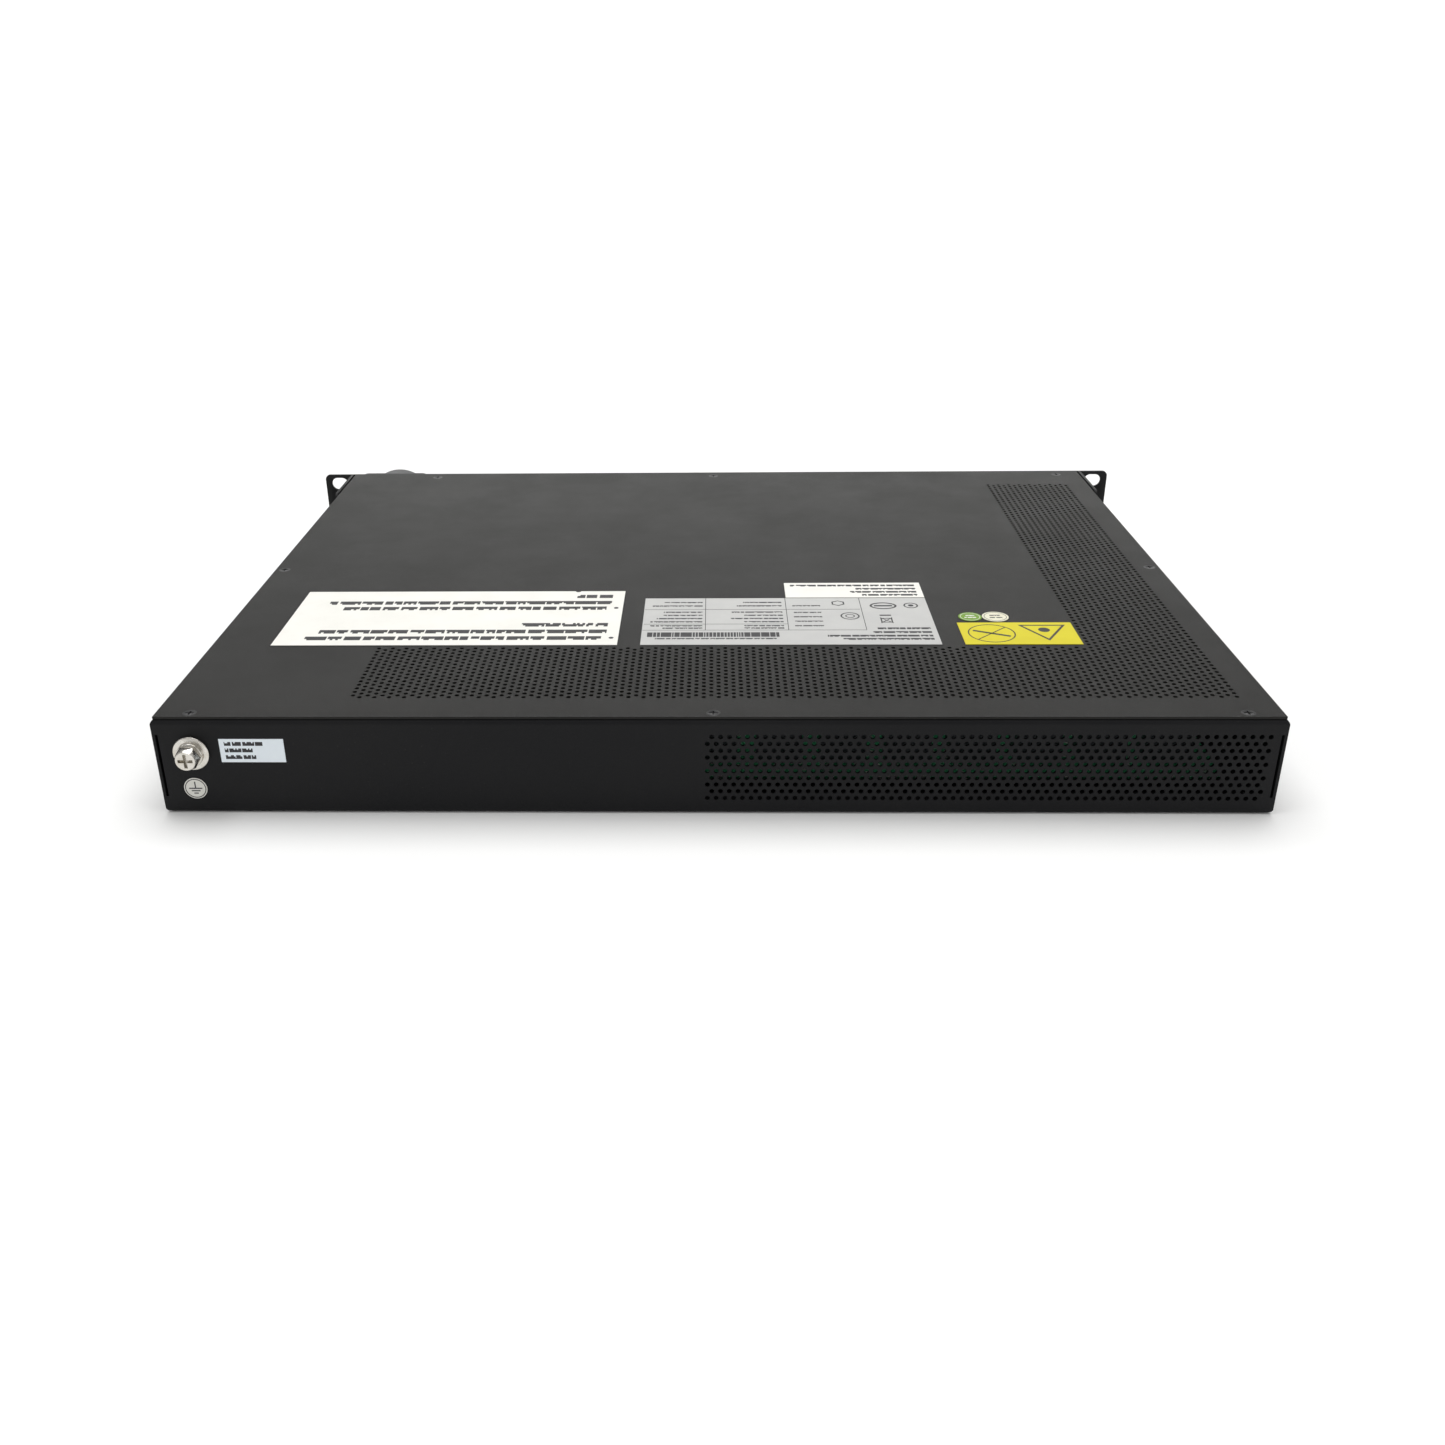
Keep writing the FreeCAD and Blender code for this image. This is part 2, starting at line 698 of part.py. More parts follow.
def case_screws():
    """The screws of the cover, of the panel and of the ears, and the cover's nuts."""
    top = size("body_height") / 2
    screw = sunk_screw("cover_screw", "cover_wall", "screw_depth")
    places = cover_screw_places()
    keep(copies("cover_screws", screw, [at(x, y, top) for x, y in places]), "cover_screws")

    ring = rod("nut_blank", "nut_radius", "nut_depth", ("0", "0", "0 - nut_depth"))
    bore = rod("nut_bore", "screw_radius", "3 * nut_depth", ("0", "0", "0 - 2 * nut_depth"))
    nut = carved("clinch_nut", ring, bore)
    ledge = top - size("cover_wall") - size("tray_wall")
    flange = top - size("cover_wall") - size("panel_wall")
    spots = [at(x, y, ledge) for x, y in places[:-3]] + [at(x, y, flange) for x, y in places[-3:]]
    floor = size("tray_wall") - top + size("panel_wall") + size("nut_depth")
    spots += [at(x, y, floor) for x, y in panel_screw_places()]
    keep(copies("clinch_nuts", nut, spots), "clinch_nuts")

    floor_screw = sunk_screw("floor_screw", "tray_wall", "screw_depth")
    turned = Rotation(Vector(1, 0, 0), 180)
    spots = [at(x, y, -top, turned) for x, y in panel_screw_places()]
    keep(copies("panel_screws", floor_screw, spots), "panel_screws")

    head = rod("ear_screw_head", "head_radius", "ear_wall", ("0", "0", "0"))
    shank = rod("ear_screw_shank", "screw_radius", "ear_wall + 2 * tray_wall",
                ("0", "0", "0 - ear_wall - 2 * tray_wall"))
    recess = cross_recess("ear_screw_recess", "head_radius / 4", "head_radius * 1.2",
                          "(ear_wall * 0.6)", "ear_wall")
    screw = carved("ear_screw", fused("ear_screw_solid", [head, shank]), recess)
    spots = []
    for x, y, z, side in ear_screw_places():
        spots.append(at(x, y, z, Rotation(Vector(0, 1, 0), 90 * side)))
    keep(copies("ear_screws", screw, spots), "ear_screws")


def hexagon(name, flat, depth, foot):
    """A hexagonal prism across its flats, standing along Y."""
    item = doc.addObject("Part::Prism", name)
    item.Polygon = 6
    item.Placement.Rotation = AXES["y"]
    item.setExpression("Circumradius", formula("(%s) / sqrt(3)" % flat))
    item.setExpression("Height", formula(depth))
    put(item, foot)
    return item


def ground_stud():
    """The grounding point on the back wall: screw, split washer, flat washer and inner nut."""
    def on_axis(depth):
        return (STUD_X, depth, "stud_rise")

    washer = rod("stud_washer_disc", "stud_washer_radius", "stud_washer_depth", on_axis(BACK), "y")
    hole = rod("stud_washer_bore", "stud_radius + hole_gap", "3 * stud_washer_depth",
               on_axis(BACK + " - stud_washer_depth"), "y")
    keep(carved("ground_flat_washer", washer, hole), "ground_flat_washer")

    outside = BACK + " + stud_washer_depth"
    ring = rod("split_disc", "spring_washer_radius", "spring_washer_depth", on_axis(outside), "y")
    bore = rod("split_bore", "stud_radius + hole_gap", "3 * spring_washer_depth",
               on_axis(outside + " - spring_washer_depth"), "y")
    slit = block("split_gap", ("hole_gap * 4", "3 * spring_washer_depth", "2 * spring_washer_radius"),
                 (STUD_X + " + stud_radius / 4", outside + " - spring_washer_depth", "stud_rise"))
    slit.Placement.Rotation = Rotation(Vector(0, 1, 0), 25)
    keep(carved("ground_spring_washer", ring, fused("split_cuts", [bore, slit])), "ground_spring_washer")

    seat = outside + " + spring_washer_depth"
    head = hexagon("stud_hex", "stud_head_flat", "stud_head_depth", on_axis(seat))
    crown = doc.addObject("Part::Cone", "stud_crown")
    crown.Placement.Rotation = AXES["y"]
    crown.setExpression("Radius1", formula("stud_head_flat * 0.66"))
    crown.setExpression("Radius2", formula("stud_head_flat * 0.44"))
    crown.setExpression("Height", formula("stud_head_depth"))
    put(crown, on_axis(seat))
    rounded = doc.addObject("Part::Common", "stud_head")
    rounded.Base = head
    rounded.Tool = crown
    shank = rod("stud_shank", "stud_radius", "stud_long", on_axis(seat + " - stud_long"), "y")
    front = seat + " + stud_head_depth"
    bars = []
    arms = (("stud_cross_wide", "stud_cross_long"), ("stud_cross_long", "stud_cross_wide"))
    for number, (wide, high) in enumerate(arms):
        corner = ("%s - %s / 2" % (STUD_X, wide), front + " - stud_cross_deep", "stud_rise - %s / 2" % high)
        bars.append(block("stud_cross_%d" % number, (wide, "2 * stud_cross_deep", high), corner))
    screw = fused("stud_solid", [rounded, shank])
    keep(carved("ground_screw", screw, fused("stud_cross", bars)), "ground_screw")

    inside = BACK + " - tray_wall - lug_depth - stud_nut_depth"
    nut = hexagon("stud_nut_hex", "stud_nut_flat", "stud_nut_depth", on_axis(inside))
    bore = rod("stud_nut_bore", "stud_radius", "3 * stud_nut_depth",
               on_axis(inside + " - stud_nut_depth"), "y")
    keep(carved("ground_nut", nut, bore), "ground_nut")


# ---------------------------------------------------------------- labels
def labels():
    """Thin labels on the cover and on the back wall."""
    high = "label_depth"
    right = "body_width / 2 - warning_margin"
    edge = BACK + " - label_back_margin"
    sheet_one = block("warning_sheet", ("warning_width", "warning_height", high),
                      (right + " - warning_width", edge + " - warning_height", TOP))
    foot = (right + " - warning_width + notch_inset", edge + " - warning_height", TOP + " - label_depth")
    notch = rod("warning_notch_drill", "warning_notch", "3 * label_depth", foot)
    keep(carved("warning_label", sheet_one, notch), "warning_label")

    rating_right = right + " - warning_width - label_row_gap"
    rating_left = rating_right + " - rating_width"
    corner = (rating_left, edge + " - rating_height", TOP)
    keep(block("rating_label", ("rating_width", "rating_height", high), corner), "rating_label")
    corner = (rating_left, edge + " - rating_height - address_gap - address_height", TOP)
    keep(block("address_label", ("address_width", "address_height", high), corner), "address_label")
    shock_right = rating_left + " - label_row_gap"
    corner = (shock_right + " - shock_width", edge + " - shock_height", TOP)
    keep(block("shock_label", ("shock_width", "shock_height", high), corner), "shock_label")
    line = BACK + " - dot_back_margin"
    green = (shock_right + " - dot_inset", line, TOP)
    keep(rod("green_sticker", "green_radius", high, green), "green_sticker")
    cream = (shock_right + " - dot_inset - dot_spacing", line, TOP)
    keep(rod("cream_sticker", "cream_radius", high, cream), "cream_sticker")

    corner = ("body_width / 2 - service_margin - service_width", BACK, "service_rise - service_height / 2")
    keep(block("service_label", ("service_width", high, "service_height"), corner), "service_label")
    centre = ("body_width / 2 - earth_margin", BACK, "0 - earth_drop")
    keep(rod("earth_sticker", "earth_radius", high, centre, "y"), "earth_sticker")


# ---------------------------------------------------------------- inlet
def inlet_screw_centres():
    """Centres of the four screws at the corners of the inlet's flange."""
    half = size("inlet_screw_spacing") / 2
    middle = size("body_width") / 2 - size("inlet_margin")
    return [(middle + x, z) for x in (-half, half) for z in (-half, half)]


def square_ring(name, depth, corner_radius):
    """A square plate with rounded corners, the inlet's flange or its gasket."""
    plate = new_body(name, (INLET_X, FACE, "0"))
    outline = new_sketch(plate, "XZ_Plane")
    draw_rectangle(outline, "inlet_flange", "inlet_flange")
    add_pad(plate, outline, depth)
    add_fillet(plate, corner_radius, lambda edge: runs_along(edge, Vector(0, 1, 0)))
    return plate


def power_inlet():
    """Round three-blade inlet with a square flange, its gasket, insert, blades and screws."""
    screw_hole = rod("flange_screw_drill", "inlet_screw_radius + hole_gap", "4 * inlet_flange_depth",
                     ("0", "0 - 3 * inlet_flange_depth", "0"), "y")
    corners = [at(x, 0, z) for x, z in inlet_screw_centres()]

    gasket = square_ring("gasket_plate", "gasket_depth", "inlet_corner")
    bore = rod("gasket_bore", "inlet_back_radius + panel_fit", "6 * gasket_depth",
               (INLET_X, "0 - 6 * gasket_depth", "0"), "y")
    holes = together("gasket_cuts", [bore, copies("gasket_holes", screw_hole, corners)])
    keep(carved("inlet_gasket", gasket, holes), "inlet_gasket")

    flange = square_ring("inlet_plate", "inlet_flange_depth", "inlet_corner")
    flange.setExpression("Placement.Base.y", formula("0 - panel_wall - gasket_depth"))
    front = "0 - panel_wall - inlet_reach"
    sleeve = rod("inlet_sleeve", "inlet_radius", "inlet_reach - gasket_depth", (INLET_X, front, "0"), "y")
    barrel = rod("inlet_barrel", "inlet_back_radius", "inlet_back_depth + panel_wall + gasket_depth",
                 (INLET_X, "0 - panel_wall - gasket_depth", "0"), "y")
    long = "inlet_reach + inlet_back_depth + 4 * overshoot"
    hollow = rod("inlet_hollow", "inlet_back_radius - inlet_wall", long,
                 (INLET_X, "0 - inlet_reach - 2 * overshoot", "0"), "y")
    key = block("inlet_key", ("inlet_key_wide", "inlet_reach - overshoot", "inlet_wall * 1.5"),
                (INLET_X + " - inlet_key_wide / 2", front, "inlet_back_radius - inlet_wall * 1.25"))
    solid = fused("inlet_solid", [flange, sleeve, barrel])
    cuts = fused("inlet_cuts", [hollow, key, copies("inlet_holes", screw_hole, corners)])
    keep(carved("inlet_shell", solid, cuts), "inlet_shell")

    start = "inlet_back_depth - insert_depth"
    disc = rod("insert_disc", "inlet_back_radius - inlet_wall", "insert_depth", (INLET_X, start, "0"), "y")
    slots = blade_set("insert_slots", "insert_depth + 2 * overshoot", start + " - overshoot")
    keep(carved("inlet_insert", disc, slots), "inlet_insert")
    blades = blade_set("inlet_blades", "blade_reach + insert_depth + blade_tail", start + " - blade_reach")
    keep(blades, "inlet_blades")

    head = rod("inlet_screw_head", "inlet_screw_radius * 1.9", "inlet_screw_radius", ("0", "0", "0"))
    long = "inlet_flange_depth + gasket_depth + 2 * panel_wall"
    shank = rod("inlet_screw_shank", "inlet_screw_radius", long, ("0", "0", "0 - (%s)" % long))
    recess = cross_recess("inlet_screw_recess", "inlet_screw_radius / 2", "inlet_screw_radius * 2",
                          "(inlet_screw_radius * 0.7)", "inlet_screw_radius")
    screw = carved("inlet_screw", fused("inlet_screw_solid", [head, shank]), recess)
    level = -size("panel_wall") - size("gasket_depth") - size("inlet_flange_depth")
    facing = Rotation(Vector(1, 0, 0), 90)
    spots = [at(x, level, z, facing) for x, z in inlet_screw_centres()]
    keep(copies("inlet_screws", screw, spots), "inlet_screws")


def blade_set(name, length, start):
    """Three curved blades on one circle, each a sixth of a turn."""
    blades = []
    for number in range(3):
        blade = doc.addObject("Part::Cylinder", "%s_outer_%d" % (name, number))
        blade.Angle = 52
        blade.Placement.Rotation = AXES["y"].multiply(Rotation(Vector(0, 0, 1), 120 * number + 64))
        blade.setExpression("Radius", formula("blade_radius"))
        blade.setExpression("Height", formula(length))
        put(blade, (INLET_X, start, "0"))
        blades.append(blade)
    core = rod(name + "_core", "blade_radius - blade_wall", length, (INLET_X, start, "0"), "y")
    return carved(name, together(name + "_outer", blades), core)


# ---------------------------------------------------------------- outlets and breakers
def bank_start(bank):
    """X of the right edge of one bank, counted from the inlet's side."""
    pitch = size("bank_outlets") * size("outlet_pitch") + size("breaker_pitch")
    return size("body_width") / 2 - size("bank_margin") - bank * pitch


def outlet_centres():
    """X of every outlet, from the inlet's side to the network corner."""
    centres = []
    for bank in range(int(size("bank_count"))):
        first = bank_start(bank) - size("outlet_pitch") / 2
        for number in range(int(size("bank_outlets"))):
            centres.append(first - number * size("outlet_pitch"))
    return centres


def breaker_centres():
    """X of every breaker, at the far end of its bank's outlets."""
    reach = size("bank_outlets") * size("outlet_pitch") + size("breaker_pitch") / 2
    return [bank_start(bank) - reach for bank in range(int(size("bank_count")))]


def ring_outline(sketch, inset):
    """The outlet's keyed outline, two corners cut off, moved in by an inset."""
    x = "(groove_width / 2 - (%s))" % inset
    z = "(groove_height / 2 - (%s))" % inset
    cut = "(groove_chamfer - (%s) * 0.586)" % inset
    corners = [("0 - " + x, "0 - " + z), (x + " - " + cut, "0 - " + z), (x, cut + " - " + z),
               (x, z + " - " + cut), (x + " - " + cut, z), ("0 - " + x, z)]
    draw_outline(sketch, corners)


def contact_spots():
    """Offsets of the three contacts in an outlet: line, earth and neutral."""
    half = size("contact_spacing") / 2
    return [(0, half), (size("contact_offset"), 0), (0, -half)]


def outlets():
    """Keyed outlets with a raised rim, a plug groove and three contact slots each."""
    shell = new_body("outlet_shell", ("0", FACE, "0"))
    rim = new_sketch(shell, "XZ_Plane")
    draw_rectangle(rim, "outlet_width + 2 * bezel_lip", "outlet_height + 2 * bezel_lip")
    add_pad(shell, rim, "bezel_depth")
    add_fillet(shell, "bezel_lip / 2", lambda edge: runs_along(edge, Vector(0, 1, 0)))
    housing = new_sketch(shell, "XZ_Plane")
    draw_rectangle(housing, "outlet_width", "outlet_height")
    add_pad(shell, housing, "outlet_depth + panel_wall", reverse=True)
    groove = new_sketch(shell, "XZ_Plane", "bezel_depth")
    ring_outline(groove, "0")
    ring_outline(groove, "groove_wall")
    add_pocket(shell, groove, "groove_depth")
    wide = "(contact_thick + 2 * contact_fit)"
    high = "(contact_wide + 2 * contact_fit)"
    slot = block("contact_slot", (wide, "outlet_depth + 6 * overshoot", high),
                 ("0 - %s / 2" % wide, "0 - 3 * overshoot", "0 - %s / 2" % high))
    slots = copies("contact_slots", slot, [at(x, 0, z) for x, z in contact_spots()])
    template = carved("outlet_template", shell, slots)
    for number, x in enumerate(outlet_centres(), start=1):
        name = "outlet_%02d" % number
        keep(copies(name, template, [at(x, 0, 0)]), name)

    blade = block("contact_blade", ("contact_thick", "outlet_depth - contact_start", "contact_wide"),
                  ("0 - contact_thick / 2", "contact_start", "0 - contact_wide / 2"))
    spots = []
    for x in outlet_centres():
        spots += [at(x + dx, 0, z) for dx, z in contact_spots()]
    keep(copies("outlet_contacts", blade, spots), "outlet_contacts")


def bus_bars():
    """Copper bars on the backs of the outlets: a line bar per bank, a neutral and an earth bar."""
    depth = size("outlet_depth")
    centres = outlet_centres()
    count = int(size("bank_outlets"))
    overhang = size("outlet_width") / 2 - 1
    high = size("bar_high")
    thick = size("bar_thick")

    def bar(first, last, z):
        low = Vector(last - overhang, depth, z - high / 2)
        return Part.makeBox(first - last + 2 * overhang, thick, high, low)

    lines = doc.addObject("Part::Feature", "line_bars")
    banks = [centres[start:start + count] for start in range(0, len(centres), count)]
    lines.Shape = Part.makeCompound([bar(bank[0], bank[-1], size("contact_spacing") / 2) for bank in banks])
    keep(lines, "line_bars")
    returns = doc.addObject("Part::Feature", "return_bars")
    levels = (0, -size("contact_spacing") / 2)
    returns.Shape = Part.makeCompound([bar(centres[0], centres[-1], z) for z in levels])
    keep(returns, "return_bars")


def breakers():
    """Rocker breakers: a hollow body behind a rim, and a rocker on two short pins."""
    case = new_body("breaker_case", ("0", FACE, "0"))
    rim = new_sketch(case, "XZ_Plane")
    draw_rectangle(rim, "breaker_width + 2 * bezel_lip", "breaker_height + 2 * bezel_lip")
    add_pad(case, rim, "bezel_depth")
    add_fillet(case, "bezel_lip / 2", lambda edge: runs_along(edge, Vector(0, 1, 0)))
    housing = new_sketch(case, "XZ_Plane")
    draw_rectangle(housing, "breaker_width", "breaker_height")
    add_pad(case, housing, "breaker_depth + panel_wall", reverse=True)
    cavity = new_sketch(case, "XZ_Plane", "bezel_depth")
    draw_rectangle(cavity, "rocker_width + 2 * rocker_fit", "rocker_length + 2 * rocker_swing")
    add_pocket(case, cavity, "cavity_depth + bezel_depth")
    reach = "rocker_width + 2 * rocker_pin_long + 2 * rocker_pin_fit"
    axle = "rocker_axle_depth - panel_wall"
    holes = rod("pin_holes", "rocker_pin + rocker_pin_fit", reach, ("0 - (%s) / 2" % reach, axle, "0"), "x")
    template = carved("breaker_template", case, holes)

    rocker = new_body("rocker_blank", ("0 - rocker_width / 2", "0", "0"))
    side = new_sketch(rocker, "YZ_Plane")
    half = "rocker_length / 2"
    front = "0 - rocker_axle_depth - rocker_reach"
    draw_outline(side, [(front, half), (front + " + rocker_dip", "0"), (front, "0 - " + half),
                        ("0 - 1", "0 - " + half), ("rocker_back", "0 - rocker_back / 2"),
                        ("rocker_back", "rocker_back / 2"), ("0 - 1", half)])
    add_pad(rocker, side, "rocker_width")
    long = "rocker_width + 2 * rocker_pin_long"
    pin = rod("rocker_pins", "rocker_pin", long, ("0 - (%s) / 2" % long, "0", "0"), "x")
    moving = fused("rocker_template", [rocker, pin])
    depth = size("rocker_axle_depth") - size("panel_wall")
    switched_on = Rotation(Vector(1, 0, 0), size("rocker_tilt"))
    for number, x in enumerate(breaker_centres(), start=1):
        name = "breaker_body_%d" % number
        keep(copies(name, template, [at(x, 0, 0)]), name)
        name = "breaker_rocker_%d" % number
        keep(copies(name, moving, [at(x, depth, 0, switched_on)]), name)


# ---------------------------------------------------------------- boards and controls
JACKS = {
    "console_jack": "jack_margin - body_width / 2",
    "network_jack": "jack_margin + jack_spacing - body_width / 2",
}


def light_centres():
    """Centres of the three status lights on the panel."""
    left = size("light_margin") - size("body_width") / 2
    return [(left + number * size("light_spacing"), size("light_rise")) for number in range(3)]


def network_jacks():
    """Two jacks on the control board, each with a keyed mouth."""
    for name, x in JACKS.items():
        shell = block(name + "_block", ("jack_wide", "jack_deep", "jack_high"),
                      (x + " - jack_wide / 2", "0 - panel_wall - jack_proud", BOARD_TOP))
        low = BOARD_TOP + " + 1.6"
        mouth = block(name + "_mouth", ("jack_mouth_wide", "jack_mouth_deep + 2", "jack_mouth_high"),
                      (x + " - jack_mouth_wide / 2", "0 - panel_wall - jack_proud - 2", low))
        key = block(name + "_key", ("jack_key_wide", "jack_mouth_deep + 2", "jack_mouth_high + 2"),
                    (x + " - jack_key_wide / 2", "0 - panel_wall - jack_proud - 2", low))
        keep(carved(name, shell, fused(name + "_cuts", [mouth, key])), name)


def panel_controls():
    """The reset button with its switch, and the status lights."""
    x = "button_margin - body_width / 2"
    start = "0 - panel_wall - button_proud"
    keep(rod("reset_button", "button_radius", "button_long", (x, start, "light_rise"), "y"), "reset_button")
    behind = start + " + button_long + button_travel + button_fit"
    corner = (x + " - switch_side / 2", behind, BOARD_TOP)
    high = "light_rise + switch_side / 2 - (%s)" % BOARD_TOP
    keep(block("reset_switch", ("switch_side", "switch_deep", high), corner), "reset_switch")
    pipe = rod("light_pipe", "light_radius", "light_deep + panel_wall + light_proud",
               ("0", "0 - panel_wall - light_proud", "0"), "y")
    spots = [at(x, 0, z) for x, z in light_centres()]
    keep(copies("status_lights", pipe, spots), "status_lights")


def board_holes():
    """Places of the standoffs below the control board and below the relay board."""
    inset = size("board_margin")
    left = size("control_margin") - size("body_width") / 2
    front = size("flange_width") + 2
    places = []
    for x in (left + inset, left + size("control_width") - inset):
        for y in (front + 2 * inset, front + size("control_depth") - inset):
            places.append((x, y))
    back = size("body_depth") - size("panel_wall") - size("relay_board_margin")
    wide = size("relay_count") * size("relay_pitch")
    start = size("vent_side_margin") - size("body_width") / 2
    for x in (start + inset, start + wide / 2, start + wide + inset):
        for y in (back - size("relay_board_depth") + inset, back - inset):
            places.append((x, y))
    return places


def boards():
    """Control board and relay board on their standoffs, the relays and the supply module."""
    left = "control_margin - body_width / 2"
    front = "flange_width + 2"
    control = block("control_plate", ("control_width", "control_depth", "board_thick"), (left, front, BOARD))
    wide = "relay_count * relay_pitch + 2 * board_margin"
    start = "vent_side_margin - body_width / 2"
    low = BACK + " - relay_board_margin - relay_board_depth"
    relay = block("relay_plate", (wide, "relay_board_depth", "board_thick"), (start, low, BOARD))
    places = board_holes()
    drill = rod("board_drill", "screw_radius", "6 * board_thick", ("0", "0", "0 - 3 * board_thick"))
    level = size("tray_wall") - size("body_height") / 2 + size("standoff_high")
    holes = copies("control_holes", drill, [at(x, y, level) for x, y in places[:4]])
    keep(carved("control_board", control, holes), "control_board")
    holes = copies("relay_holes", drill, [at(x, y, level) for x, y in places[4:]])
    keep(carved("relay_board", relay, holes), "relay_board")

    post = rod("standoff_post", "standoff_radius", "standoff_high", ("0", "0", "0"))
    screw = rod("standoff_screw", "screw_radius", "standoff_high + board_thick", ("0", "0", "0"))
    head = rod("standoff_top", "standoff_radius", "standoff_head", ("0", "0", "standoff_high + board_thick"))
    stand = fused("standoff", [post, screw, head])
    floor = size("tray_wall") - size("body_height") / 2
    keep(copies("board_standoffs", stand, [at(x, y, floor) for x, y in places]), "board_standoffs")

    case = block("relay_case", ("relay_wide", "relay_deep", "relay_high"), ("0", "0", "0"))
    top = level + size("board_thick")
    first = size("vent_side_margin") - size("body_width") / 2 + size("board_margin")
    back = size("body_depth") - size("panel_wall")
    row = back - size("relay_board_margin") - size("relay_board_depth") / 2
    spots = []
    for number in range(int(size("relay_count"))):
        x = first + number * size("relay_pitch") + (size("relay_pitch") - size("relay_wide")) / 2
        spots.append(at(x, row, top))
    keep(copies("relays", case, spots), "relays")

    corner = (left + " + (control_width - supply_wide) / 2", "supply_front", BOARD_TOP)
    keep(block("supply_module", ("supply_wide", "supply_deep", "supply_high"), corner), "supply_module")


# ---------------------------------------------------------------- wiring
def rounded_path(points):
    """A wire through points, straight runs joined by arcs as large as the runs allow."""
    edges = []
    here = points[0]
    for before, point, after in zip(points, points[1:], points[2:]):
        come = (point - before).normalize()
        leave = (after - point).normalize()
        turn = come.getAngle(leave)
        trim = 0.45 * min((point - before).Length, (after - point).Length)
        start = point - come * trim
        end = point + leave * trim
        inward = (leave - come).normalize()
        radius = trim / math.tan(turn / 2)
        middle = point + inward * (radius / math.cos(turn / 2) - radius)
        edges.append(Part.LineSegment(here, start).toShape())
        edges.append(Part.Arc(start, middle, end).toShape())
        here = end
    edges.append(Part.LineSegment(here, points[-1]).toShape())
    return Part.Wire(edges)


def swept(path, profile):
    """A solid of one section carried along a path, checked against its length."""
    solid = path.makePipeShell([profile], True, False)
    wanted = Part.Face(profile).Area * path.Length
    tolerance = 0.02
    if abs(solid.Volume - wanted) > tolerance * wanted:
        raise RuntimeError("a lead's volume is off its section times its length")
    return solid


def lead(points, radius):
    """One round lead along a route."""
    points = [Vector(*point) for point in points]
    profile = Part.Wire([Part.makeCircle(radius, points[0], points[1] - points[0])])
    return swept(rounded_path(points), profile)


